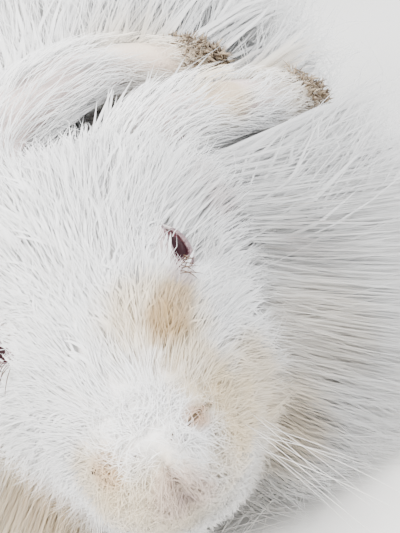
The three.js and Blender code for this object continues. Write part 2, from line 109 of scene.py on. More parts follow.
lamp("key", (-0.55, -0.75, 1.05), 0.9, 54, (1, 0.985, 0.96))
lamp("side", (0.95, -0.25, 0.65), 1.0, 18, (0.95, 0.97, 1))
lamp("behind", (-0.1, 1.0, 0.8), 0.9, 14)
world = bpy.data.worlds.new("sky")
world.use_nodes = True
world.node_tree.nodes["Background"].inputs["Color"].default_value = (0.86, 0.88, 0.9, 1)
world.node_tree.nodes["Background"].inputs["Strength"].default_value = 1.45
bpy.context.scene.world = world

# %% [markdown]
# ## Shader maths as plain expressions
# A Blender material is a graph. Wrapping a socket in a small class lets a mask be written as a formula,
# such as `1 - spot * noise`. Colours and vectors go through nodes of their own, because a Math node turns
# them grey.

# %% The shader helper
class Wire:
    """A socket of a material that can be used in an expression."""

    def __init__(self, paint, socket):
        self.paint = paint
        self.socket = socket

    def maths(self, operation, first, second):
        return self.paint.node("Math", {"operation": operation}, {0: first, 1: second})

    def __add__(self, other):
        return self.maths("ADD", self, other)

    def __mul__(self, other):
        return self.maths("MULTIPLY", self, other)

    def __sub__(self, other):
        return self.maths("SUBTRACT", self, other)

    def __rsub__(self, other):
        return self.maths("SUBTRACT", other, self)

    __radd__ = __add__
    __rmul__ = __mul__


class Paint:
    """A material under construction."""

    def __init__(self, name):
        self.material = bpy.data.materials.new(name)
        self.material.use_nodes = True
        self.tree = self.material.node_tree
        self.tree.nodes.clear()
        self.place = self.node("TexCoord", out="Object")

    def node(self, kind, settings=None, sockets=None, out=0):
        """A node of one kind, its settings made first, then its sockets' values or links."""
        made = self.tree.nodes.new("ShaderNode" + kind)
        for name, value in (settings or {}).items():
            setattr(made, name, value)
        for name, value in (sockets or {}).items():
            if isinstance(value, Wire):
                self.tree.links.new(value.socket, made.inputs[name])
            else:
                made.inputs[name].default_value = value
        return Wire(self, made.outputs[out])

    def mix(self, first, second, share):
        """A colour between two colours."""
        sockets = {"Factor": share, 6: first, 7: second}
        return self.node("Mix", {"data_type": "RGBA"}, sockets, out=2)

    def smooth(self, value, start, end):
        """0 before start, 1 past end, and a soft step between them."""
        sockets = {"Value": value, "From Min": start, "From Max": end}
        return self.node("MapRange", {"interpolation_type": "SMOOTHSTEP"}, sockets)

    def noise(self, scale, detail):
        sockets = {"Vector": self.place, "Scale": scale, "Detail": detail}
        return self.node("TexNoise", sockets=sockets, out="Fac")

    def spot(self, centre, reach, soft=0.6):
        """1 near a point of the animal, given in millimetres, and 0 past the reach."""
        sockets = {0: self.place, 1: tuple(v * MM for v in centre)}
        distance = self.node("VectorMath", {"operation": "DISTANCE"}, sockets, out="Value")
        return 1 - self.smooth(distance, reach * (1 - soft) * MM, reach * MM)

    def attribute(self, name):
        return self.node("Attribute", {"attribute_name": name}, out="Fac")

    def bump(self, distance, height):
        sockets = {"Strength": 0.5, "Distance": distance, "Height": height}
        return self.node("Bump", sockets=sockets, out="Normal")

    def finish(self, **sockets):
        """The surface shader and the output. Names are the shader's own, with _ for a space."""
        named = {name.replace("_", " "): value for name, value in sockets.items()}
        surface = self.node("BsdfPrincipled", sockets=named)
        output = self.tree.nodes.new("ShaderNodeOutputMaterial")
        self.tree.links.new(surface.socket, output.inputs["Surface"])
        return self.material


def rgb(red, green, blue):
    return (red, green, blue, 1.0)


# %% [markdown]
# ## Meshes from arrays
# A shape here is always a grid of points, worked out in one go. `loft` closes a grid that runs round a
# body, with a point at each end. `mesh_of` puts arrays into a mesh without a loop over its points. From
# here on every length is in millimetres, and `mesh_of` alone turns them into metres.

# %% Mesh helpers
def mesh_of(name, points, faces, material, smooth=True, uv=None, values=None, normals=None):
    """A mesh object from points (..., 3) in millimetres and triangles (m, 3).

    uv, values and normals are given for each point.
    """
    mesh = bpy.data.meshes.new(name)
    points = points.reshape(-1, 3) * MM
    mesh.vertices.add(len(points))
    mesh.vertices.foreach_set("co", np.ascontiguousarray(points, np.float32).ravel())
    mesh.loops.add(faces.size)
    mesh.loops.foreach_set("vertex_index", np.ascontiguousarray(faces, np.int32).ravel())
    mesh.polygons.add(len(faces))
    mesh.polygons.foreach_set("loop_start", np.arange(0, faces.size, 3, dtype=np.int32))
    mesh.polygons.foreach_set("use_smooth", np.full(len(faces), smooth))
    mesh.update(calc_edges=True)
    if uv is not None:
        layer = mesh.uv_layers.new(name="OFBake")
        layer.data.foreach_set("uv", np.ascontiguousarray(uv[faces.ravel()], np.float32).ravel())
    for key, value in (values or {}).items():
        attribute = mesh.attributes.new(key, "FLOAT", "POINT")
        attribute.data.foreach_set("value", np.ascontiguousarray(value, np.float32))
    if normals is not None:
        mesh.normals_split_custom_set_from_vertices(normals.reshape(-1, 3))
    mesh.materials.append(material)
    return link(bpy.data.objects.new(name, mesh))


def fit(piece):
    """Lets a piece ride on the root."""
    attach(piece, "root")


def outward(points, faces):
    """The same triangles, turned round where the body they close has a negative volume."""
    a, b, c = (points[faces[:, k]] for k in range(3))
    volume = np.einsum("ij,ij->i", a, np.cross(b, c)).sum()
    return faces if volume > 0 else faces[:, ::-1]


def loft(rings, start=None, end=None):
    """Points and triangles of a closed body through rings (rows, around, 3), a point closing each end."""
    rows, around = rings.shape[:2]
    start = rings[0].mean(0) if start is None else start
    end = rings[-1].mean(0) if end is None else end
    points = np.vstack([rings.reshape(-1, 3), start, end])
    here = np.arange(around)
    after = (here + 1) % around
    base = (np.arange(rows - 1) * around)[:, None]
    a, b, c, d = base + here, base + after, base + after + around, base + here + around
    sides = np.concatenate([np.stack([a, b, c], -1), np.stack([a, c, d], -1)]).reshape(-1, 3)
    last = (rows - 1) * around
    first_cap = np.stack([np.full(around, rows * around), after, here], -1)
    last_cap = np.stack([np.full(around, rows * around + 1), last + here, last + after], -1)
    faces = np.vstack([sides, first_cap, last_cap])
    return points, outward(points, faces)


# %% [markdown]
# ## The form of the animal as stations
# The body is a row of oval cross-sections from throat to rump, and the head another from nose to nape. Each
# station gives the oval of the skin and the oval that the tips of the hair reach. Every place on the
# animal, on the skin or out in the coat, is then a station, an angle from the top and a share of the coat's
# depth.

# %% Stations of the trunk and the skull, in millimetres
NOSE = np.array([0, -178, 46])
ROUNDNESS = 0.9  # below 1 an oval is fuller than an ellipse
TRUNK_SKIN = np.array([  # place along Y, half width, top, underside
    [-106, 6, 48, 38], [-98, 26, 64, 22], [-80, 34, 76, 12], [-50, 42, 90, 8], [-10, 48, 104, 6],
    [35, 55, 120, 5], [80, 59, 128, 5], [118, 55, 118, 6], [142, 40, 92, 12], [152, 20, 70, 30],
    [155, 5, 55, 45],
])
TRUNK_TIPS = np.array([
    [-156, 34, 18, 1], [-150, 84, 38, 1], [-122, 102, 66, 1], [-66, 110, 104, 1], [-12, 118, 142, 1],
    [38, 121, 168, 1], [86, 121, 178, 1], [130, 112, 168, 1], [170, 88, 136, 1], [196, 52, 98, 1],
    [206, 12, 60, 10],
])
SKULL = np.array([  # back from the nose, half width, top, underside, and coat on crown, cheek and jaw
    [0, 5.5, 3, -8.5, 1.5, 1.5, 1.5], [4, 11, 8.5, -15.5, 1.8, 2.2, 2.2], [11, 14.5, 12, -19.5, 2.6, 3.4, 4],
    [22, 17.5, 17, -23.5, 3.6, 6, 8], [36, 20.5, 22.5, -27, 6, 12, 12], [50, 23, 27.5, -29.5, 13, 20, 15],
    [64, 24.5, 30.5, -30.5, 18, 26, 15], [78, 23, 29.5, -28, 19, 27, 14], [90, 17, 23, -20, 18, 24, 12],
    [98, 6, 12, -8, 14, 16, 10],
])
HELD = 7.8  # past this station of the skull the coat's outside no longer narrows
EYE_RADIUS = 8.5
EYE_CENTRE = NOSE + [14.8, 47, 14.5]  # of the left eye
EYE_LOOK = unit(np.array([0.82, -0.49, 0.29]))
SIDES = {"left": np.array([1, 1, 1]), "right": np.array([-1, 1, 1])}


def along(table, at):
    """Rows of a table read at fractions of a station.

    A cubic runs from row to row. Its slope at a row is half of what its two neighbours differ by.
    """
    slope = np.gradient(table, axis=0)
    row = np.clip(np.floor(at).astype(int), 0, len(table) - 2)
    t = np.clip(at - row, 0, 1)[..., None]
    a, b = table[row], table[row + 1]
    ease = t * t * (3 - 2 * t)
    stay = 1 - t
    return a + (b - a) * ease + t * stay * (stay * slope[row] - t * slope[row + 1])


def xyz(x, y, z):
    """Points from their three coordinates, which may be arrays of different but fitting shapes."""
    return np.stack(np.broadcast_arrays(x, y, z), -1)


def oval(y, half, top, low, angle, skirt=0.0):
    """A point of an oval section: half width times the sine, half height times the cosine.

    Both are a little fuller than an ellipse's, and a skirt squares the lower half, as hanging wool does.
    """
    def fuller(v, power):
        return np.sign(v) * np.abs(v) ** power

    middle, rise = (top + low) / 2, (top - low) / 2
    below = skirt * np.clip(-np.cos(angle) * 3, 0, 1)
    across = half * fuller(np.sin(angle), ROUNDNESS - 0.5 * below)
    return xyz(across, y, middle + rise * fuller(np.cos(angle), ROUNDNESS))


def folded(point):
    """Points of both sides laid on the left one, so that both share a form."""
    return np.stack([np.abs(point[..., 0]), point[..., 1], point[..., 2]], -1)


def trunk_place(station, angle, share):
    """A point of the trunk: the oval between the skin's and the tips', by the share.

    Past the last station it runs straight on, as hair does over the rump.
    """
    last = len(TRUNK_SKIN) - 1
    skin, tips = along(TRUNK_SKIN, station), along(TRUNK_TIPS, station)
    y, half, top, low = np.moveaxis(skin + (tips - skin) * np.asarray(share)[..., None], -1, 0)
    shrink = np.clip(1 + station, 0.3, 1)  # in front of the first station the oval closes
    return oval(y + 4 * np.maximum(station - last, 0), half * shrink, top, low, angle, np.clip(share, 0, 1))


# %% [markdown]
# ## The forms of the face
# Under the wool a rabbit has two whisker pads on a split upper lip, a small chin, cheekbones below the eyes
# and a ridge over them. Each is a soft bump that pushes the skin outwards, and the split lip and the line
# of the mouth are thin bumps that push it in. The coat on the face grows from the pushed skin, so the forms
# show through it.

# %% The head
FACE_FORMS = [  # place from the nose (side, back, up), reach on each axis, push, all in millimetres
    ((6.5, 5, -8), (7, 8, 6.5), 3.4), ((0, 12, -19), (7, 8, 5), 2.6), ((17, 45, 24), (7, 11, 6), 1.6),
    ((20, 38, 1), (8, 13, 9), 1.4), ((22, 46, 15), (9, 11, 9), 2.2), ((5, 1, 1.5), (4.5, 5, 4), 1.2),
    ((0, -1, -6.5), (1, 7, 5.5), -2.2), ((0, 24, 14), (7, 12, 6), 0.8),
]
MOUTH = np.array([[0, -2, -10.5], [5, 1, -11.5], [10, 8, -12], [14.5, 17, -12.5], [17, 26, -13.5]])
MOUTH_WIDTH = 0.9
MOUTH_DEPTH = 1.9
CLEARING = 12  # the reach of the short hair round an eye
DOME = 1.6  # how far the nose bulges in front of its first station


def bump(point, centre, reach):
    """1 at the centre, falling as a bell along each axis by its own reach, on both sides of the face."""
    offset = (folded(point) - NOSE - centre) / reach
    return np.exp(-(offset**2).sum(-1))


def polyline(points, steps):
    """Points at even steps along a line through a few points, by a smooth curve."""
    return along(np.asarray(points, float), np.linspace(0, len(points) - 1, steps))


MOUTH_LINE = polyline(MOUTH, 24)


def face_push(point):
    """How far the face's forms push the skin out at each point."""
    push = sum(depth * bump(point, np.array(centre), np.array(reach)) for centre, reach, depth in FACE_FORMS)
    near = np.full(point.shape[:-1], np.inf)
    from_nose = folded(point) - NOSE
    for spot in MOUTH_LINE:
        near = np.minimum(near, ((from_nose - spot) ** 2).sum(-1))
    return push - MOUTH_DEPTH * np.exp(-near / MOUTH_WIDTH**2)


def nearest_eye(point):
    """The distance from each point to the front of the eye on its side."""
    front = EYE_CENTRE + EYE_LOOK * EYE_RADIUS
    return np.linalg.norm(folded(point) - front, axis=-1)


def head_place(station, angle, share, fine=True):
    """A point of the head: the oval, pushed out by the face's forms and by the share of the coat's depth.

    The coat's depth goes from crown to cheek to jaw with the square of the sine, and is short round the
    eyes. Stations from -1 to 0 close the front of the nose: a quarter circle from its middle point to the
    first oval.
    """
    last = len(SKULL) - 1
    back, *oval_row = np.moveaxis(along(SKULL, station), -1, 0)
    _, *held_row = np.moveaxis(along(SKULL, np.minimum(station, HELD)), -1, 0)
    wide = np.clip(share * 3, 0, 1) * np.clip(station - HELD, 0, 1)
    half, top, low, crown, cheek, jaw = (a + (b - a) * wide for a, b in zip(oval_row, held_row))
    back = back + 11 * np.maximum(station - last, 0)
    closing = np.pi / 2 * np.clip(1 + station, 0, 1)
    inner, middle = np.sin(closing), (top + low) / 2
    half, top, low = half * inner, middle + (top - middle) * inner, middle + (low - middle) * inner
    point = oval(NOSE[1] + back - DOME * np.cos(closing), half, NOSE[2] + top, NOSE[2] + low, angle)
    side = np.sin(angle) ** 2
    end = np.where(np.cos(angle) > 0, crown, jaw)
    clear = 1 - 0.9 * np.exp(-((nearest_eye(point) / CLEARING) ** 2))
    depth = (end + (cheek - end) * side) * clear * share
    if fine:
        depth = depth + face_push(point)
    front = np.clip(1 - station, 0, 1)
    behind = np.clip(station - last + 1, 0, 1)
    lean = (behind - front) * depth
    return point + xyz(np.sin(angle) * depth * inner, lean, np.cos(angle) * depth * inner)


# %% [markdown]
# ## Ears, legs and tail
# An ear is a cup: a curved sheet rolled round its own hollow, widest at a third of its length. It is one
# surface, carried along a curve that leans back over the neck. The legs are round sections on a path, and
# the tail is a small upright dome against the rump.

# %% Ears, legs and tail
EAR_CURVES = {
    "left": [[11, 76, 14], [15, 81, 23], [33, 90, 31], [58, 108, 23], [83, 132, 8]],
    "right": [[-11, 76, 14], [-15, 81, 23], [-8, 98, 46], [24, 116, 50], [62, 128, 34]],
}
EAR_OPENING = {"left": np.array([0.1, -0.35, -0.93]), "right": np.array([-0.1, -0.4, -0.9])}
EAR_WRAP = math.radians(150)
EAR_RADII = np.array([  # share of the ear's length, radius there
    [0, 6.5], [0.12, 8], [0.3, 10.2], [0.5, 11], [0.68, 10], [0.82, 8.8], [0.92, 7.4], [0.98, 4.8], [1, 1.6],
])
EAR_FLAT = 0.78


def curve_frame(points, steps):
    """Even places along a smooth curve through a few points, and its direction there."""
    fine = polyline(points, 400)
    run = np.concatenate([[0], np.cumsum(np.linalg.norm(np.diff(fine, axis=0), axis=1))])
    at = np.interp(steps, run / run[-1], np.arange(len(fine)))
    place = along(fine, at)
    return place, unit(along(fine, np.minimum(at + 1, len(fine) - 1)) - along(fine, np.maximum(at - 1, 0)))


def ear_radius(t):
    return np.interp(t, EAR_RADII[:, 0], EAR_RADII[:, 1])


def ear_frame(side, t):
    """Places along the middle of an ear, and its direction there."""
    return curve_frame(np.array(EAR_CURVES[side]) + NOSE, t)


def ear_place(side, t, wrap, inward=0.0):
    """A point of an ear: at t along its curve, and at an angle round it from the middle of its back.

    inward is how many millimetres it lies inside the outer surface.
    """
    shape = np.broadcast(t, wrap, inward).shape
    t, wrap, inward = (np.broadcast_to(v, shape) for v in (t, wrap, inward))
    centre, run = ear_frame(side, np.clip(t, 0, 1))
    front = unit(EAR_OPENING[side] - run * (run @ EAR_OPENING[side])[..., None])
    across = np.cross(run, front)
    radius = ear_radius(t) - inward
    sideways, outwards = np.sin(wrap) * radius, np.cos(wrap) * radius * EAR_FLAT
    return centre + (across * sideways[..., None] - front * outwards[..., None])


def ear_body(side):
    """The cup as one closed body: out round its back, then in round its hollow."""
    t = np.concatenate([np.linspace(0, 0.96, 60), [0.98, 0.99]])[:, None]
    wrap = np.linspace(-EAR_WRAP, EAR_WRAP, 40)
    wall = np.minimum(2.4, 0.42 * ear_radius(t))
    rings = np.concatenate([ear_place(side, t, wrap), ear_place(side, t, wrap[::-1], wall)], 1)
    return loft(rings, end=ear_place(side, np.array([1.0]), np.array([0.0]))[0])


def limb_place(path, depth=3.0):
    """The place function of a limb, by station, angle and share, as the trunk has.

    The stations run along its path of [x, y, z, half width, half height]. Past its end it runs straight on.
    """
    path = np.asarray(path, float)
    last = len(path) - 1

    def place(station, angle, share):
        at = np.clip(station, 0, last)
        row = along(path, at)
        run = unit((along(path, np.minimum(at + 0.1, last)) - along(path, np.maximum(at - 0.1, 0)))[..., :3])
        up = unit(np.cross([1.0, 0, 0], run))
        half, rise = (row[..., k] + depth * share for k in (3, 4))
        level = xyz(np.cos(angle) * half, 0, 0) + up * (np.sin(angle) * rise)[..., None]
        return row[..., :3] + level + run * (5 * (station - at))[..., None]
    return place


def limb(path):
    """Round sections along a path."""
    rows = np.linspace(0, len(path) - 1, 8 * len(path))[:, None]
    angle = np.linspace(0, 2 * np.pi, 32, endpoint=False)
    return limb_place(path)(rows, angle + 0 * rows, 0 * rows * angle)


def foreleg_path(side):
    x = 20 * side
    return [[x, -66, 36, 8, 8], [x, -72, 30, 10, 10], [x, -85, 20, 10, 10], [x, -94, 10, 9, 8],
            [x, -104, 8, 9, 6.5], [x, -112, 7.5, 8, 6], [x, -118, 7, 6.5, 5], [x, -121, 6.5, 3, 3]]


def hind_path(side):
    x = 57 * side
    return [[x, 134, 8, 6, 6], [x, 128, 9, 9, 8.5], [x, 105, 9, 10.5, 8.5], [x, 70, 8, 10.5, 7.5],
            [x, 48, 7.5, 12, 7], [x, 38, 7, 9.5, 6.4], [x, 33, 6.5, 6, 5]]


def tail_place(station, angle, share):
    """A point of the tail: a dome on the rump. Stations run from its root to its end, 0 to 5."""
    half = 7 + 15 * share
    polar = np.pi * (station + 0.2) / 5.4
    drop = 0.5 * np.cos(polar) * half
    x = half * np.sin(polar) * np.sin(angle)
    y = 179 - (half + 8) * np.cos(polar)
    z = 46 - 14 * share + (half + 6) * np.sin(polar) * np.cos(angle) + drop
    return xyz(x, y, z)


print("ear tips in mm", [ear_place(side, np.array([1.0]), np.array([0.0]))[0].round() for side in SIDES])

# %% [markdown]
# ## One skin
# Head, trunk, ears, legs and tail are closed bodies that run into each other. Blender's Boolean joins them
# into one skin and cuts out the sockets, the slits between the lids and the nostrils. The fast Manifold
# solver is enough, because every body is closed. The seams are then softened by moving points towards their
# neighbours.

# %% Bodies of the skin
def ball(centre, radii, turn=np.eye(3), rows=24, around=40):
    """An ellipsoid: a unit sphere by rings, stretched, turned and moved."""
    polar = np.linspace(0, np.pi, rows + 2)[1:-1, None]
    angle = np.linspace(0, 2 * np.pi, around, endpoint=False)
    rings = xyz(np.sin(polar) * np.cos(angle), np.sin(polar) * np.sin(angle), np.cos(polar))
    poles = np.array([[0, 0, 1.0], [0, 0, -1.0]])
    rings, poles = ((v * radii) @ turn.T + centre for v in (rings, poles))
    return loft(rings, poles[0], poles[1])


def eye_frame(side):
    """The eye's centre and its axes: along the slit, across it, and out of the head."""
    out = EYE_LOOK * SIDES[side]
    run = unit(np.array([-0.14, -0.79, -0.77])) * SIDES[side]
    run = unit(run - out * (run @ out))
    return EYE_CENTRE * SIDES[side], np.column_stack([run, np.cross(out, run), out])


SLIT = np.array([7.0, 3.4, 5.0])
LID = 1.0
NOSTRIL = np.array([4.4, 0.65, 2.6])


def nostril_frame(side):
    """A nostril's centre and its axes: along the slit, across it, and out of the nose."""
    out = unit(np.array([0.42, -0.85, 0.28]) * SIDES[side])
    run = np.array([0.99, -0.02, 0.11]) * SIDES[side]
    run = unit(run - out * (run @ out))
    return (NOSE + np.array([6.8, 1.6, 1.2])) * SIDES[side], np.column_stack([run, np.cross(out, run), out])


around = np.linspace(0, 2 * np.pi, 200, endpoint=False)
rows = np.concatenate([np.linspace(-0.94, 3, 90), np.linspace(3, 9, 80)[1:]])[:, None]
head_body = loft(head_place(rows, around, np.zeros((len(rows), 200))))
rows = np.linspace(0, 10, 90)[:, None]
trunk_body = loft(trunk_place(rows, around[::2], np.zeros((90, 100))))
rows = np.linspace(0, 5, 24)[:, None]
tail_body = loft(tail_place(rows, around[::5], np.zeros((24, 40))))
lid_balls = [ball(eye_frame(side)[0], np.full(3, EYE_RADIUS + LID)) for side in SIDES]
legs = [loft(limb(path(side))) for side in (1, -1) for path in (foreleg_path, hind_path)]
thighs = [ball(np.array([44.0 * side, 96, 46]), np.array([22, 44, 42])) for side in (1, -1)]
solids = [head_body, trunk_body, tail_body, *lid_balls, *legs, *thighs, *(ear_body(side) for side in SIDES)]
cuts = [ball(eye_frame(side)[0], np.full(3, EYE_RADIUS + 0.12)) for side in SIDES]
for side in SIDES:
    centre, axes = eye_frame(side)
    cuts.append(ball(centre + axes[:, 2] * (EYE_RADIUS + 1), SLIT, axes))
    centre, axes = nostril_frame(side)
    cuts.append(ball(centre, NOSTRIL, axes, 16, 28))


# %% Join them into the skin
def boolean(target, others, operation):
    """The target's mesh joined with or cut by the others, one at a time."""
    for points, faces in others:
        tool = mesh_of("tool", points, faces, None)
        change = target.modifiers.new("join", "BOOLEAN")
        change.operation = operation
        change.solver = "MANIFOLD"
        change.object = tool
        result = bpy.data.meshes.new_from_object(target.evaluated_get(bpy.context.evaluated_depsgraph_get()))
        target.modifiers.clear()
        target.data = result
        bpy.data.objects.remove(tool)


def points_of(mesh):
    points = np.empty(len(mesh.vertices) * 3, np.float32)
    mesh.vertices.foreach_get("co", points)
    return points.reshape(-1, 3).astype(float)


def relaxed(mesh, rounds, keep):
    """Each point moves half of the way to the mean of its neighbours, a few times.

    keep gives the share that each point holds back.
    """
    points = points_of(mesh)
    edges = np.empty(len(mesh.edges) * 2, np.int32)
    mesh.edges.foreach_get("vertices", edges)
    a, b = edges.reshape(-1, 2).T
    count = np.bincount(edges, minlength=len(points))[:, None]
    for _ in range(rounds):
        total = np.zeros_like(points)
        np.add.at(total, a, points[b])
        np.add.at(total, b, points[a])
        points += 0.5 * (total / np.maximum(count, 1) - points) * (1 - keep(points))
    mesh.vertices.foreach_set("co", points.astype(np.float32).ravel())
    mesh.update()


skin = mesh_of("skin", *solids[0], None)
boolean(skin, solids[1:], "UNION")
boolean(skin, cuts, "DIFFERENCE")
EYE_ROOM = EYE_RADIUS * 1.05
NOSTRIL_ROOM = 6


def near_slits(points):
    """1 close to an eye or a nostril, so that their edges stay crisp."""
    left = folded(points) / MM
    eye = np.linalg.norm(left - EYE_CENTRE - EYE_LOOK * 4, axis=1) < EYE_ROOM
    nose = np.linalg.norm(left - NOSE - [6.3, 1.6, 1.2], axis=1) < NOSTRIL_ROOM
    return (eye | nose)[:, None].astype(float)


relaxed(skin.data, 6, near_slits)
print("skin triangles", sum(len(p.vertices) - 2 for p in skin.data.polygons))
print("so far", round(time.time() - started), "s")

# %% [markdown]
# ## The colour of the coat, and painted shade
# The wool is a cool white. It takes stains where an animal gets wet or dirty: yellow-brown in the tear groove
# under the eye, cream on the cheeks and beside the nose, and brown and crusted at the tips of the ears. The
# same spots also carry painted shade: grey in the hollow under the ear and round the eye, mauve along the
# mouth, in the groove below the eye and in a crease under the ear, and grey-beige under the chin, which is
# partly dirt and partly painted shade. The stains and the shade are soft spots at places of the animal,
# broken up by noise, and the skin and every hair read the same ones, so that they agree. A hair is a little
# darker at its root, and no two hairs are quite alike.

# %% Coat colours and painted shade
TEAR = (0.42, 0.26, 0.09)
CREAM = (0.76, 0.58, 0.32)
BEIGE = (0.62, 0.42, 0.24)
CRUST = (0.2, 0.12, 0.055)
# mauve: pink-brown skin, and painted shade along the mouth, below the eye and in a crease under the ear
MAUVE = (0.46, 0.33, 0.31)
# grey-beige of dirt under the chin, and painted shade where the chin lies in shadow
DIRT_AND_SHADE = (0.52, 0.47, 0.39)
# painted shade, grey, for the hollow under the ear and round the eye
SHADE = (0.52, 0.49, 0.47)
RUST = (0.45, 0.22, 0.08)
PINK = (0.83, 0.6, 0.55)
STAINS_AND_SHADE = [  # place in millimetres, reach, colour, strength
    ((11, -158, 60), 15, CREAM, 0.65), ((13, -161, 60), 7, TEAR, 0.95), ((16, -155, 61), 6, TEAR, 0.8),
    # The mauve spots on the next row, below the eye's front corner, are partly the skin of the tear groove
    # and partly painted shade in it.
    ((10, -165, 58), 4, TEAR, 0.5), ((19, -149, 62), 4, MAUVE, 0.7), ((20, -143, 62), 4, MAUVE, 0.6),
    ((13, -169, 50), 11, CREAM, 0.6), ((16, -170, 41), 13, CREAM, 0.75), ((22, -157, 36), 15, CREAM, 0.65),
    ((22, -147, 20), 16, CREAM, 0.6), ((11, -176, 37), 9, CREAM, 0.5), ((-8, -179, 34), 18, CREAM, 0.7),
    ((-12, -174, 45), 9, CREAM, 0.6), ((-34, -134, 26), 22, CREAM, 0.8), ((-28, -148, 30), 14, BEIGE, 0.4),
    ((9, -178, 48), 3.6, RUST, 0.7), ((-9, -177, 47), 5, BEIGE, 0.8), ((40, -136, 30), 18, CREAM, 0.25),
    ((0, -180, 37), 8, PINK, 0.45), ((36, -119, 63), 6, MAUVE, 0.5), ((36, -115, 70), 5, MAUVE, 0.4),
    # The first spot on the next row, mauve, is painted shade in the crease under the ear, over its pink skin.
    ((46, -132, 50), 5, MAUVE, 0.5), ((60, -95, 30), 22, CREAM, 0.25), ((56, -53, 78), 20, CREAM, 0.5),
    # The grey-beige spots from here to the end of the next row, under the chin, are partly dirt and partly
    # painted shade.
    ((53, -86, 79), 12, CREAM, 0.6), ((88, -52, 58), 16, CREAM, 0.4), ((6, -176, 27), 10, DIRT_AND_SHADE, 0.6),
    ((17, -165, 24), 11, DIRT_AND_SHADE, 0.5), ((0, -148, 10), 24, DIRT_AND_SHADE, 0.5),
    # Painted shade: grey in the hollow under the ear and round the eye.
    ((47, -131, 49), 10, SHADE, 0.5), ((52, -133, 45), 9, SHADE, 0.45), ((27, -133, 60), 7, SHADE, 0.35),
    # Painted shade: mauve spots along the line of the mouth, whose groove the velvet hides.
    *((tuple(NOSE + spot), 2.6, MAUVE, 0.6) for spot in MOUTH[:4]),
]


def stained_and_shaded(paint, base):
    """The base colour with every stain and every spot of painted shade laid over it."""
    grain = paint.noise(260, 3)
    for centre, reach, colour, strength in STAINS_AND_SHADE:
        mask = paint.smooth(paint.spot(centre, reach * 1.3, 0.9) + (grain - 0.5) * 0.5, 0.15, 0.85)
        base = paint.mix(base, (*colour, 1), mask * strength)
    for side in SIDES:
        tip, before = ear_place(side, np.array([0.985, 0.8]), np.zeros(2))
        mask = paint.smooth(paint.spot(tip, 14, 0.7) + (grain - 0.5) * 0.7, 0.3, 0.75)
        base = paint.mix(base, (*CREAM, 1), paint.spot(before, 26, 0.8) * 0.5)
        base = paint.mix(base, (*CRUST, 1), mask * 0.92)
    return base


def wool_paint(name, light, root, rough):
    """The finish of a coat: darker at the roots, lighter at the tips, and each hair with its own tone."""
    paint = Paint(name)
    tip, tone = paint.attribute("tip"), paint.attribute("tone")
    base = paint.mix(root, light, paint.smooth(tip, 0.0, 0.35))
    base = paint.mix(base, rgb(0.8, 0.7, 0.55), paint.smooth(tone, 0.86, 1.0) * 0.5)
    base = stained_and_shaded(paint, base)
    return paint.finish(Base_Color=base, Roughness=rough, Sheen_Weight=0.25, Sheen_Roughness=0.5,
                        Specular_IOR_Level=0.3)


body_wool = wool_paint("body_wool", rgb(0.94, 0.935, 0.925), rgb(0.88, 0.865, 0.84), 0.62)
face_wool = wool_paint("face_wool", rgb(0.94, 0.938, 0.935), rgb(0.88, 0.86, 0.84), 0.58)


# %% The skin's finish
def skin_paint():
    """Pale pink skin under dense white down, bare only in the ears and at the nose."""
    paint = Paint("skin")
    down = paint.noise(900, 4)
    base = paint.mix(rgb(0.83, 0.79, 0.76), rgb(0.9, 0.88, 0.86), down)
    for side in SIDES:
        inner = ear_place(side, np.array([0.45]), np.zeros(1), 5)[0]
        base = paint.mix(base, rgb(0.85, 0.6, 0.55), paint.spot(inner, 34, 0.5) * 0.55)
        centre, axes = eye_frame(side)
        base = paint.mix(base, rgb(0.3, 0.16, 0.17), paint.spot(centre + axes[:, 2] * 8, 7.5, 0.5) * 0.75)
    base = stained_and_shaded(paint, base)
    fine = paint.noise(1400, 3)
    bumps = paint.bump(0.0006, fine + down * 0.5)
    return paint.finish(Base_Color=base, Roughness=0.7, Normal=bumps)


skin.data.materials.clear()
skin.data.materials.append(skin_paint())
skin.data.polygons.foreach_set("use_smooth", np.ones(len(skin.data.polygons), bool))
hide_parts(*(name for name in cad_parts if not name.startswith("eye")))
fit(skin)

# %% [markdown]
# ## Eyes
# A white rabbit's eye has no pigment, and what shows is the red of the blood behind it. Here it is half
# shut, a dark plum slit between dark wet margins. The margin is a fleshy ring that lies on the ball round
# the slit.

# %% Eyeballs and lid margins
def eye_paint(side):
    paint = Paint("eye_" + side)
    centre, axes = eye_frame(side)
    front = centre + axes[:, 2] * EYE_RADIUS
    iris = paint.spot(front, 6.4, 0.25)
    pupil = paint.spot(front, 3.4, 0.35)
    streaks = paint.noise(1500, 3)
    base = paint.mix(rgb(0.16, 0.05, 0.06), rgb(0.05, 0.008, 0.014), iris)
    base = paint.mix(base, rgb(0.14, 0.025, 0.035), iris * streaks * 0.5)
    base = paint.mix(base, rgb(0.02, 0.004, 0.007), pupil)
    return paint.finish(Base_Color=base, Roughness=0.3, Specular_IOR_Level=0.06, Coat_Weight=0.03,
                        Coat_Roughness=0.05)


def margin_paint():
    paint = Paint("lid_margin")
    mottle = paint.smooth(paint.noise(900, 3), 0.35, 0.65)
    base = paint.mix(rgb(0.09, 0.04, 0.05), rgb(0.25, 0.15, 0.16), mottle)
    bumps = paint.bump(0.0003, mottle)
    return paint.finish(Base_Color=base, Roughness=0.32, Coat_Weight=0.5, Coat_Roughness=0.15, Normal=bumps)


def tube(line, radius, sides=12):
    """Rings of a tube round a closed line of points."""
    run = unit(np.roll(line, -1, 0) - np.roll(line, 1, 0))
    middle = line.mean(0)
    out = unit(line - middle)
    out = unit(out - run * (out * run).sum(1)[:, None])
    up = np.cross(run, out)
    angle = np.linspace(0, 2 * np.pi, sides, endpoint=False)[:, None]
    return line[:, None] + radius * (np.cos(angle) * out[:, None] + np.sin(angle) * up[:, None])


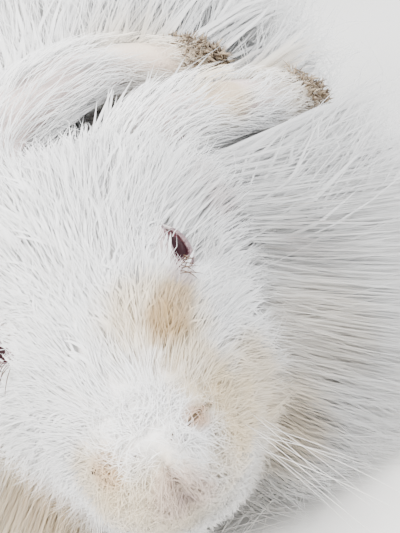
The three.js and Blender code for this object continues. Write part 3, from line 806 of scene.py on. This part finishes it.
def hoop(rings):
    """Points and triangles of a tube that runs back into itself."""
    rows, sides = rings.shape[:2]
    r, s = np.meshgrid(np.arange(rows), np.arange(sides), indexing="ij")
    a, b = r * sides + s, r * sides + (s + 1) % sides
    c, d = ((r + 1) % rows) * sides + (s + 1) % sides, ((r + 1) % rows) * sides + s
    faces = np.concatenate([np.stack([a, b, c], -1), np.stack([a, c, d], -1)]).reshape(-1, 3)
    points = rings.reshape(-1, 3)
    return points, outward(points, faces)


def margin_line(side):
    """The outline of the slit on the ball: pointed at both corners, and laid on a sphere over the eyeball."""
    centre, axes = eye_frame(side)
    u = np.linspace(0, 2 * np.pi, 72, endpoint=False)
    run = np.cos(u) * SLIT[0]
    across = np.sin(u) * np.abs(np.sin(u)) ** 0.25 * SLIT[1] * 0.92
    out = np.sqrt((EYE_RADIUS + 0.5) ** 2 - run**2 - across**2)
    return centre + np.column_stack([run, across, out]) @ axes.T


MARGIN = 0.6  # the radius of a lid's margin
lid_margin = margin_paint()
for side in SIDES:
    centre, axes = eye_frame(side)
    body = ball(centre, np.full(3, EYE_RADIUS), axes, 48, 72)
    eyeball = mesh_of("eyeball_" + side, *body, eye_paint(side))
    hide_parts("eye_" + side)
    fit(eyeball)
    fit(mesh_of("lid_margin_" + side, *hoop(tube(margin_line(side), MARGIN)), lid_margin))
print("eyes", 2 * EYE_RADIUS, "mm across, slits", 2 * SLIT[0], "by", 2 * SLIT[1], "mm")

# %% [markdown]
# ## Hair as thin solid spikes
# Each hair of this coat is a wisp: a thin three-sided spike with a point, bent along the lie. Wisps grow in
# tufts. A tuft has a place on the skin, a direction, a sway and a wave that all its wisps share, and they
# draw together towards their tips, which is what gives wool its soft locks. One function makes any number
# of them as arrays, from a place function and a few numbers, so the muzzle's velvet and the long wool of
# the back differ only in their numbers.

# %% Wisps
PATCH = 0.003  # the size of a wisp's patch on the OFBake UV map
STEPS = {  # where along a wisp its rings lie, by their number
    3: [0, 0.3, 0.66], 4: [0, 0.2, 0.46, 0.75], 6: [0, 0.14, 0.3, 0.46, 0.63, 0.82],
    13: np.linspace(0, 0.94, 13),
}
SOFTNESS = 0.88  # how far a wisp is shaded as the coat's surface, and not as a spike
JITTER = 0.08  # how far that shading differs from wisp to wisp
VELVET_END = 1.2  # up to this station of the nose the velvet lies in all directions
rng = np.random.default_rng(7)


def thickness(s):
    """A wisp's width along it: seven tenths at the root, full at a quarter, and narrowing to its point."""
    return np.interp(s, [0, 0.25, 0.6, 1], [0.7, 1, 0.85, 0.1])


def wisp_mesh(line, out, width, steps, soft=SOFTNESS):
    """Spikes along lines (n, steps + 1, 3), their flat side towards out, which is given at each point.

    Each ring is a triangle: half the width to each side and a little more than that up. The last point of a
    line is the tip. Normals lean towards the way out of the coat, so that light falls on it as on one form.
    """
    count, rings = len(line), len(steps)
    run = unit(np.diff(line, axis=1))
    across = unit(np.cross(run, out[:, :-1]))
    up = np.cross(across, run)
    wide = (width[:, None] * thickness(np.array(steps)) / 2)[..., None]
    offset = np.stack([across * wide, up * wide * 1.1, -across * wide], 2)
    points = np.concatenate([(offset + line[:, :-1, None]).reshape(count, -1, 3), line[:, -1:]], 1)
    shade = unit(unit(offset) * (1 - soft) + out[:, :-1, None] * soft).reshape(count, -1, 3)
    normals = np.concatenate([shade, out[:, -1:]], 1)
    ring, corner = np.meshgrid(np.arange(rings - 1) * 3, np.arange(3), indexing="ij")
    beside = (corner + 1) % 3
    a, b, c, d = ring + corner, ring + beside, ring + 3 + beside, ring + 3 + corner
    body = np.concatenate([np.stack([a, b, c], -1), np.stack([a, c, d], -1)]).reshape(-1, 3)
    top = 3 * (rings - 1)
    tip = [[top + k, top + (k + 1) % 3, top + 3] for k in range(3)]
    one = outward(points[0] - points[0].mean(0), np.vstack([body, tip, [[0, 2, 1]]]))
    faces = (one[None] + (np.arange(count) * points.shape[1])[:, None, None]).reshape(-1, 3)
    return points, faces, normals


def coat(name, place, roots, look, material, fix=None):
    """One piece of coat: tufts of wisps from the roots, by a place function.

    roots are the station, angle and length of each tuft. look gives the numbers: each, wisps in a tuft;
    spread, the tuft's radius; width; tips, the shares that tips reach; fall, how far hair runs down for
    each part that it runs back; yaw, sway, wave and pinch, its small changes.
    """
    station, angle, length = (v[:, None] for v in roots)
    count = len(station)
    shape = (count, look["each"])
    steps = STEPS[look["rings"]]
    s = np.array([*steps, 1])
    step, half = 0.05, np.full(station.shape, 0.5)
    here = place(station, angle, half)
    per_station = np.linalg.norm(place(station + step, angle, half) - here, axis=-1) / step
    per_radian = np.linalg.norm(place(station, angle + step, half) - here, axis=-1) / step
    yaw = look["yaw"] * rng.normal(size=(count, 1)) + 0.3 * look["yaw"] * rng.normal(size=shape)
    tangle = look.get("tangle", 0) * rng.normal(size=shape) * (station < VELVET_END)
    yaw = yaw + np.arctan(look["fall"] * np.sin(angle)) + tangle
    sway = look["sway"] * (rng.normal(size=(count, 1)) + 0.35 * rng.normal(size=shape))
    phase = rng.uniform(0, 2 * np.pi, (count, 1)) + 0.5 * rng.normal(size=shape)
    long = length * rng.uniform(0.72, 1.18, shape)
    du, dv = look["spread"] * rng.normal(size=(2, *shape))
    low, high = look["tips"]
    tips = low + (high - low) * rng.beta(2.4, 1.4, shape)
    yaw, sway, phase, long, du, dv, tips = (v[..., None] for v in (yaw, sway, phase, long, du, dv, tips))
    shrink = 1 - look["pinch"] * s
    wave = look["wave"] * s * np.sin(2 * np.pi * s * long / look["period"] + phase)
    ahead = du * shrink + long * s * np.cos(yaw)
    beside = dv * shrink + long * s * np.sin(yaw) + sway * s**2 + wave
    st = station[..., None] + ahead / np.maximum(per_station, 4)[..., None]
    an = angle[..., None] + beside / np.maximum(per_radian, 3)[..., None]
    share = look["root"] + (tips - look["root"]) * s ** look["rise"]
    line = place(st, an, share).reshape(-1, len(s), 3)
    out = line - place(st, an, share - 0.5).reshape(-1, len(s), 3)
    out = unit(unit(out) + JITTER * rng.normal(size=(len(line), 1, 3)))
    width = look["width"] * (0.5 + 0.5 * np.minimum(length / 16, 1)) * rng.uniform(0.65, 1.25, shape)
    tone = rng.uniform(0, 1, (count, 1)) * 0.6 + rng.uniform(0, 1, shape) * 0.4
    width, tone = width.ravel(), tone.ravel()
    root_u, root_v = (an[..., 0] / (2 * np.pi) + 0.5) % 1, np.clip(st[..., 0] / 11, 0, 1)
    root_uv = np.stack([root_u, root_v], -1).reshape(-1, 2)
    line[..., 2] = np.maximum(line[..., 2], 0.25 + 0.5 * width[:, None])
    if fix:
        line, keep = fix(line)
        line, out, width, tone, root_uv = (v[keep] for v in (line, out, width, tone, root_uv))
    points, faces, normals = wisp_mesh(line, out, width, steps, look.get("soft", SOFTNESS))
    ring = np.append(np.repeat(steps, 3), 1.0)
    side = np.append(np.tile([-0.5, 0, 0.5], len(steps)), 0.0)
    uv = 0.01 + 0.98 * root_uv[:, None] + PATCH * np.stack([side, ring], -1)
    values = {"tip": np.tile(ring, len(line)), "tone": np.repeat(tone, len(ring))}
    piece = mesh_of(name, points, faces, material, uv=uv.reshape(-1, 2), values=values, normals=normals)
    fit(piece)  # rides on the root
    print(name, len(line), "wisps", len(faces), "triangles")


def evenly(station, angle):
    return 1 + 0 * station


def scatter(place, count, stations, degrees, weight):
    """Roots spread evenly over a patch of skin, more where the weight is larger.

    Candidates are drawn over the patch, and each is kept by the area that it stands for times its weight.
    """
    tries = count * 12
    station = rng.uniform(*stations, tries)
    angle = rng.uniform(*np.radians(degrees), tries)
    half, step = np.full(tries, 0.5), 0.02
    here = place(station, angle, half)
    ahead, beside = place(station + step, angle, half), place(station, angle + step, half)
    area = np.linalg.norm(np.cross(ahead - here, beside - here), axis=-1) * weight(station, angle)
    picked = rng.choice(tries, count, replace=False, p=area / area.sum())
    return station[picked], (angle[picked] + np.pi) % (2 * np.pi) - np.pi


def grow(name, place, part, length, material, fix=None, weight=evenly):
    """A piece of coat over a patch of skin. part is a look, a number of tufts, and the patch's range of
    stations and of angles in degrees. length is a number, or a function of stations and angles."""
    look, count, stations, degrees = part
    station, angle = scatter(place, count, stations, degrees, weight)
    lengths = length(station, angle) if callable(length) else np.full(count, float(length))
    coat(name, place, (station, angle, lengths), look, material, fix)


# %% [markdown]
# ## The coat of the head
# The hair starts as velvet on the nose, a few millimetres long, and grows longer all the way back: the
# crown and the cheeks carry wool of several centimetres that fans out from the bridge of the nose. It is
# short round the eyes, and nearly every wisp that would still cross an eye is left out.

# %% Hair round the eyes and the nose
OVER_NOSTRIL = {"left": 0.75, "right": 0.6}  # how much of each nostril is kept free of hair
LASH_SHARE = 16  # one wisp in so many may cross the slit, but not its middle


def open_eyes(line):
    """Lifts hair that would run through a lid, and says which wisps lie neither over the slit between the
    lids nor over a nostril.

    A point closer to the eye's centre than the lid's surface moves straight out to a little over it.
    """
    near, blocked = np.full((2, len(line)), np.inf)
    lift = EYE_RADIUS + LID + np.linspace(-0.6, 0.9, line.shape[1])[:, None]
    for side in SIDES:
        centre, axes = eye_frame(side)
        away = line - centre
        distance = np.linalg.norm(away, axis=-1, keepdims=True)
        line = centre + away * np.maximum(lift / distance, 1)
        local = (line - centre) @ axes
        over = ((local[..., :2] / (SLIT[:2] + [0.3, 0.4])) ** 2).sum(-1) + 10 * (local[..., 2] < 0)
        near = np.minimum(near, over.min(1))
        centre, axes = nostril_frame(side)
        local = (line[:, :2] - centre) @ axes / (NOSTRIL * OVER_NOSTRIL[side] + [0, 0.15, 0.4])
        blocked = np.minimum(blocked, (local**2).sum(-1).min(1))
    stray = np.arange(len(line)) % LASH_SHARE == 0
    return line, ((near > 1) | (stray & (near > 0.1))) & (blocked > 1)


def length_on_head(station, angle):
    """Hair's length: a few millimetres and two thirds more than the coat's depth there."""
    bare = head_place(station, angle, np.zeros(len(station)), fine=False)
    full = head_place(station, angle, np.ones(len(station)), fine=False)
    return 1.4 + 1.7 * np.linalg.norm(full - bare, axis=-1)


def down_on_head(station, angle):
    return length_on_head(station, angle) * 0.6


# %% Head coat
FACE_LOOK = {
    "each": 10, "rings": 4, "spread": 1.7, "width": 0.25, "tips": (0.55, 1.02), "fall": 0.55, "yaw": 0.14,
    "sway": 1.6, "wave": 0.5, "period": 11, "pinch": 0.2, "root": 0.05, "rise": 0.5,
}
VELVET_LOOK = {**FACE_LOOK, "rings": 3, "spread": 0.9, "width": 0.22, "sway": 0.3, "wave": 0.05,
               "tips": (0.5, 1.3), "yaw": 0.25, "tangle": 0.9}
FACE_DOWN = {**FACE_LOOK, "rings": 3, "each": 8, "spread": 2, "width": 1.1, "tips": (0.55, 0.93),
             "yaw": 0.25, "root": 0}
FORELOCK = {**FACE_LOOK, "each": 9, "spread": 1.2, "tips": (0.7, 2.0), "rise": 1.1, "sway": 4,
            "pinch": 0.5, "fall": 0.1}
HEAD_PARTS = {  # name: look, tufts, stations, degrees
    "coat_muzzle": (VELVET_LOOK, 940, (-0.92, 3.3), (-180, 180)),
    "coat_crown": (FACE_LOOK, 610, (2.6, 8.4), (-55, 55)),
    "coat_cheek_left": (FACE_LOOK, 690, (2.6, 8.2), (50, 135)),
    "coat_cheek_right": (FACE_LOOK, 370, (2.6, 8.2), (-135, -50)),
    "coat_chin": (FACE_LOOK, 170, (2.6, 7.5), (132, 228)),
    "coat_forelock": (FORELOCK, 72, (7.0, 8.6), (-20, 60)),
    "coat_face_down": (FACE_DOWN, 460, (2.0, 8.4), (-180, 180)),
}
for name, part in HEAD_PARTS.items():
    length = down_on_head if part[0] is FACE_DOWN else length_on_head
    grow(name, head_place, part, length, face_wool, open_eyes)

# %% [markdown]
# ## Fur on the ears
# The ears are furred all over, long at the root and short at the crusted tip, and the hair runs out along
# the ear. Hair also bridges the hollow of the cup, so that only a little of the pink inside shows.

# %% Ear coat
def ear_coat_place(side):
    """The place function of one ear, by station, angle and share. Stations run along it from 0 to 10."""
    tip_run = unit(np.diff(np.array(EAR_CURVES[side]), axis=0)[-1])

    def place(station, angle, share):
        t = np.clip(station / 10, 0, 1)
        depth = np.interp(t, [0, 0.3, 0.7, 0.9, 1], [12, 8, 5, 2.5, 2])
        hollow = 0.35 * ear_radius(t) * (np.cos(angle) < math.cos(EAR_WRAP))
        past = 90 * np.maximum(station / 10 - 1, 0)
        return ear_place(side, t, angle, hollow - share * depth) + past[..., None] * tip_run
    return place


EAR_LOOK = {**FACE_LOOK, "rings": 3, "each": 9, "spread": 1.8, "width": 0.32, "fall": 0.0,
            "tips": (0.3, 1.0), "yaw": 0.16, "soft": 0.5}
for side in SIDES:
    grow("coat_ear_" + side, ear_coat_place(side), (EAR_LOOK, 320, (0.7, 9.7), (-180, 180)),
         lambda st, an: np.interp(st, [0, 5, 8.5, 10], [20, 14, 6, 3]), face_wool,
         weight=lambda st, an: 1 + 1.5 * (np.cos(an) < -0.6))

# %% [markdown]
# ## The wool of the body
# The body carries wool of six to seven centimetres. It parts along the spine, runs back and falls down the
# sides to the floor. Shorter down fills the coat from below, so that no skin shows between locks. Round the
# face the wool stands out in a ruff, and its lowest locks lie forward on the floor under the chin.

# %% Room for the head and the ears
HEAD_CORE = NOSE + np.array([0, 52, -1])
HEAD_RADII = np.array([27, 50, 31])
OVER_EAR = 30  # millimetres of free room over an ear that lies on the wool


def ear_room(side):
    """Spots along an ear, the radius there, and the way out of the coat at each.

    The way is the trunk's own, found as the nearest of many places in the coat.
    """
    t = np.linspace(0.12, 1, 22)
    spots, _ = ear_frame(side, t)
    station, angle = np.meshgrid(np.linspace(0.5, 6, 56), np.linspace(-np.pi, np.pi, 121))
    station, angle = station.ravel(), angle.ravel()
    share = np.linspace(0.3, 1.1, 17)[:, None]
    grid = trunk_place(station + 0 * share, angle + 0 * share, share + 0 * station)
    ways = []
    for spot in spots:
        nearest = np.argmin(((grid - spot) ** 2).sum(-1)) % len(station)
        ways.append(grid[-1, nearest] - grid[0, nearest])
    return spots, np.interp(t, [0, 0.7, 0.8, 1], [8, 8, 9, 9]), unit(np.array(ways))


EAR_ROOMS = [ear_room(side) for side in SIDES]


def clear_of_head(line, first=1):
    """Says which wisps, from their first-th point on, don't run in the head, in an ear or over an ear."""
    inside = (((line[:, first:] - HEAD_CORE) / HEAD_RADII) ** 2).sum(-1).min(1) < 1
    for spots, radii, ways in EAR_ROOMS:
        for spot, radius, way in zip(spots, radii, ways):
            away = line[:, 1:] - spot
            height = np.clip(away @ way, 0, OVER_EAR)
            inside |= np.linalg.norm(away - height[..., None] * way, axis=-1).min(1) < radius
    return line, ~inside


def clear_below(line):
    """The same for the wool under the chin, of which only the last two points must clear the head."""
    return clear_of_head(line, -2)


# %% Body coat
WOOL_LOOK = {
    "each": 10, "rings": 4, "spread": 3.4, "width": 1.0, "tips": (0.5, 1.0), "fall": 0.75, "yaw": 0.16,
    "sway": 6, "wave": 1.6, "period": 26, "pinch": 0.5, "root": 0.15, "rise": 0.55,
}
DOWN_LOOK = {**WOOL_LOOK, "rings": 3, "each": 8, "spread": 5, "width": 3.6, "tips": (0.35, 0.7),
             "sway": 4, "pinch": 0.1, "wave": 0.5}
RUFF_LOOK = {**WOOL_LOOK, "each": 11, "rings": 6, "spread": 2.2, "width": 0.36, "wave": 1.7,
             "period": 13, "sway": 5, "yaw": 0.2, "fall": 0.3}
RIGHT_RUFF = {**RUFF_LOOK, "rings": 4}
RUFF_DOWN = {**DOWN_LOOK, "each": 10, "width": 1.6, "spread": 3.5, "tips": (0.5, 0.88)}
APRON_LOOK = {**RUFF_LOOK, "rings": 4, "tips": (0.6, 1.02), "root": 0.25, "rise": 0.9, "sway": 3,
              "width": 0.34}
APRON_DOWN = {**RUFF_DOWN, "width": 1.2, "fall": 0.3, "tips": (0.5, 0.95), "root": 0.2, "rise": 0.9,
              "sway": 2}
DEWLAP_LOOK = {**APRON_LOOK, "each": 10, "tips": (0.72, 1.04), "root": 0.4, "width": 0.5, "spread": 3}
TAIL_LOOK = {**WOOL_LOOK, "spread": 2.4, "width": 0.9, "fall": 0.35, "sway": 7, "yaw": 0.7,
             "tips": (0.35, 1.2), "rise": 0.9, "soft": 0.4}
BODY_PARTS = {  # name: look, tufts, stations, degrees, length
    "coat_apron": (APRON_LOOK, 390, (-0.3, 1.8), (-170, 170), 7),
    "coat_apron_down": (APRON_DOWN, 380, (-0.3, 2.0), (-172, 172), 5),
    "coat_dewlap": (DEWLAP_LOOK, 260, (-0.75, 0.7), (90, 270), 5),
    "coat_ruff_left": (RUFF_LOOK, 560, (0.9, 4.0), (5, 165), 42),
    "coat_ruff_right": (RIGHT_RUFF, 250, (0.9, 4.0), (-165, 5), 42),
    "coat_ruff_down": (RUFF_DOWN, 480, (0.8, 4.6), (-165, 165), 30),
    "coat_back": (WOOL_LOOK, 290, (3.6, 9.6), (-45, 45), 62),
    "coat_flank_left": (WOOL_LOOK, 280, (3.6, 9.6), (45, 150), 62),
    "coat_flank_right": (WOOL_LOOK, 280, (3.6, 9.6), (-150, -45), 62),
    "coat_down": (DOWN_LOOK, 400, (4.2, 9.6), (-165, 165), 34),
}
for name, (*part, length) in BODY_PARTS.items():
    fix = clear_below if "apron" in name or "dewlap" in name else clear_of_head
    even = 3 if "dewlap" in name else 1.3
    grow(name, trunk_place, part, length, body_wool, fix, lambda st, an: even + np.cos(an))
grow("coat_tail", tail_place, (TAIL_LOOK, 90, (0.8, 4.6), (-180, 180)), 30, body_wool)

# %% [markdown]
# ## Stray hair
# Angora wool is so fine that its outermost hairs float: single, wavy and going their own way. Over a
# thousand of them on the face and the ruff take the combed look off the coat.

# %% Stray hair
STRAY_LOOK = {**FACE_LOOK, "each": 1, "rings": 13, "spread": 0.1, "width": 0.17, "tips": (0.8, 1.1),
              "yaw": 0.4, "sway": 3, "wave": 0.8, "period": 8, "pinch": 0, "root": 0.55, "rise": 1}
STRAY_PARTS = {  # name: place function, fix, mean length, then tufts, stations, degrees
    "coat_stray_head": (head_place, open_eyes, 18, 620, (2.4, 8.6), (-140, 140)),
    "coat_stray_ruff": (trunk_place, clear_of_head, 30, 840, (0.4, 4.2), (-60, 150)),
}
for name, (place, fix, length, *patch) in STRAY_PARTS.items():
    grow(name, place, (STRAY_LOOK, *patch), lambda st, an: length * rng.uniform(0.5, 1.1, len(st)),
         face_wool, fix)

# %% [markdown]
# ## Feet
# Short dense fur covers the paws and the long hind feet and runs towards the toes. Each foot shows four
# claws.

# %% Feet
foot_fur = wool_paint("foot_fur", rgb(0.9, 0.86, 0.78), rgb(0.8, 0.72, 0.6), 0.6)
claw_paint = Paint("claw").finish(Base_Color=rgb(0.68, 0.58, 0.48), Roughness=0.4)
FOOT_LOOK = {**FACE_LOOK, "rings": 3, "each": 8, "width": 0.45, "tips": (0.4, 1.1), "fall": 0.0,
             "yaw": 0.2, "soft": 0.3}
FEET = {  # path, width of the toes' row, then tufts, stations
    "forefoot": (foreleg_path, 0.8, 70, (3, 7)), "hindfoot": (hind_path, 1, 96, (1, 6)),
}
CLAW_STEPS = np.linspace(0, 0.9, 7)
for side, sign in (("left", 1), ("right", -1)):
    for foot, (path, wide, *patch) in FEET.items():
        path = path(sign)
        grow("coat_" + foot + "_" + side, limb_place(path), (FOOT_LOOK, *patch, (-180, 180)), 9, foot_fur)
        x, y, z = path[-1][:3]
        toe = np.array([-6, -2, 2, 6])[:, None] * wide
        s = np.append(CLAW_STEPS, 1)
        line = xyz(x + toe * (1 + 0.1 * s), y + 3 + 0.12 * toe**2 - 7 * s, z - 1 - 3.6 * s**2)
        points, faces, _ = wisp_mesh(line, 0 * line + [0, 0, 1.0], np.full(4, 1.9), CLAW_STEPS, 0)
        fit(mesh_of("claws_" + foot[:4] + "_" + side, points, faces, claw_paint))

# %% [markdown]
# ## Whiskers, lashes and crusts
# Whiskers are long thin spikes that leave the lip pads sideways and sink under their weight. Brown lashes
# curl out of the front corner of the eye. Dried brown crumbs sit round the nostrils and at the tips of the
# ears: they are the same spikes, made short and thick.

# %% Whiskers and lashes
whisker_paint = Paint("whisker").finish(Base_Color=rgb(0.9, 0.88, 0.84), Roughness=0.35)
lash_paint = Paint("lash").finish(Base_Color=rgb(0.1, 0.055, 0.03), Roughness=0.4)
crumb_shade = Paint("crust")
crumb_mix = crumb_shade.mix(rgb(0.07, 0.045, 0.03), rgb(0.46, 0.36, 0.25), crumb_shade.attribute("tone"))
crust_paint = crumb_shade.finish(Base_Color=crumb_mix, Roughness=0.7)
LONG_STEPS = np.linspace(0, 0.92, 12)
CRUMB_STEPS = np.array([0, 0.35, 0.75])


def spikes(name, start, way, bend, length, width, material, steps=LONG_STEPS):
    """Spikes from start along way, each pulled towards bend by the square of the share of its length."""
    s = np.append(steps, 1)[:, None]
    line = start[:, None] + length[:, None, None] * (way[:, None] * s + bend[:, None] * s**2)
    line[..., 2] = np.maximum(line[..., 2], 0.4)
    out = unit(np.cross(np.gradient(line, axis=1), np.array([0.3, 0.5, 0.2])))
    points, faces, _ = wisp_mesh(line, out, width + 0 * length, steps, 0)
    values = {"tone": np.repeat(rng.uniform(0, 1, len(start)), points.shape[1])}
    fit(mesh_of(name, points, faces, material, values=values))


WHISKERS, LASHES, NOSE_CRUMBS, EAR_CRUMBS = 10, 8, 60, 1500
CRUST_REACH = {"left": 2.3, "right": 1.5}  # stations of the ear from its tip
for side, sign in (("left", 1), ("right", -1)):
    both = SIDES[side]
    count = WHISKERS
    station, angle = rng.uniform(1.4, 3.0, count), sign * rng.uniform(1.6, 2.3, count)
    start = head_place(station, angle, np.full(count, 0.3))
    lift = rng.uniform(-2.3, -0.8, count)
    way = unit(xyz(0.9, rng.uniform(-0.5, 0.35, count), lift) * both)
    bend = xyz(0, 0.12 * rng.normal(size=count), -0.16 + 0.1 * rng.normal(size=count))
    spikes("whiskers_" + side, start, way, bend, rng.uniform(20, 42, count), 0.15, whisker_paint)

    count = LASHES
    along_lid = np.linspace(0, 1, count)[:, None]
    start = np.array([21.3, -143.5, 63.4]) + along_lid * [-2.6, -8, -0.4]
    way = unit(np.array([0.83, -0.3, -0.2]) + 0.14 * rng.normal(size=(count, 3)))
    bend = np.array([-0.15, 0.05, -0.4]) + 0.12 * rng.normal(size=(count, 3))
    spikes("lashes_" + side, start * both, way * both, bend * both, 2 + 2.6 * along_lid[:, 0], 0.3,
           lash_paint)

    count = NOSE_CRUMBS
    centre, axes = nostril_frame(side)
    turn = rng.uniform(0, 2 * np.pi, count)
    spot = xyz(NOSTRIL[0] * 1.1 * np.cos(turn), NOSTRIL[1] * 1.2 * np.sin(turn), rng.uniform(0.3, 2.2, count))
    way = unit(rng.normal(size=(count, 3)) + [0, 0, 1])
    bend = 0.3 * rng.normal(size=(count, 3))
    spikes("crust_nose_" + side, centre + spot @ axes.T, way @ axes.T, bend, rng.uniform(0.4, 0.9, count),
           rng.uniform(0.2, 0.45, count), crust_paint, CRUMB_STEPS)

    count = EAR_CRUMBS
    place = ear_coat_place(side)
    station = 10.1 - rng.beta(1.2, 1.3, count) * CRUST_REACH[side]
    angle = rng.uniform(-np.pi, np.pi, count)
    start = place(station, angle, rng.uniform(0.0, 1.2, count))
    out = unit(place(station, angle, np.ones(count)) - place(station, angle, np.zeros(count)))
    way = unit(out + 0.9 * rng.normal(size=(count, 3)))
    bend = 0.6 * rng.normal(size=(count, 3))
    spikes("crust_ear_" + side, start, way, bend, rng.uniform(0.8, 2.2, count),
           rng.uniform(0.4, 1.1, count), crust_paint, CRUMB_STEPS)

# %% [markdown]
# The floor is plain and pale. It isn't part of the animal, so it doesn't ride on the root.

# %% Floor
floor_paint = Paint("floor")
floor_colour = floor_paint.mix(rgb(0.72, 0.71, 0.69), rgb(0.76, 0.75, 0.73), floor_paint.noise(6, 2))
floor_material = floor_paint.finish(Base_Color=floor_colour, Roughness=0.8)
corners = np.array([[-1, -1, 0], [1, -1, 0], [1, 1, 0], [-1, 1, 0]]) * 4000.0
floor = mesh_of("floor", corners, np.array([[0, 1, 2], [0, 2, 3]]), floor_material, smooth=False)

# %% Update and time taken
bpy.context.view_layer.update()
print("script took", round(time.time() - started), "s")
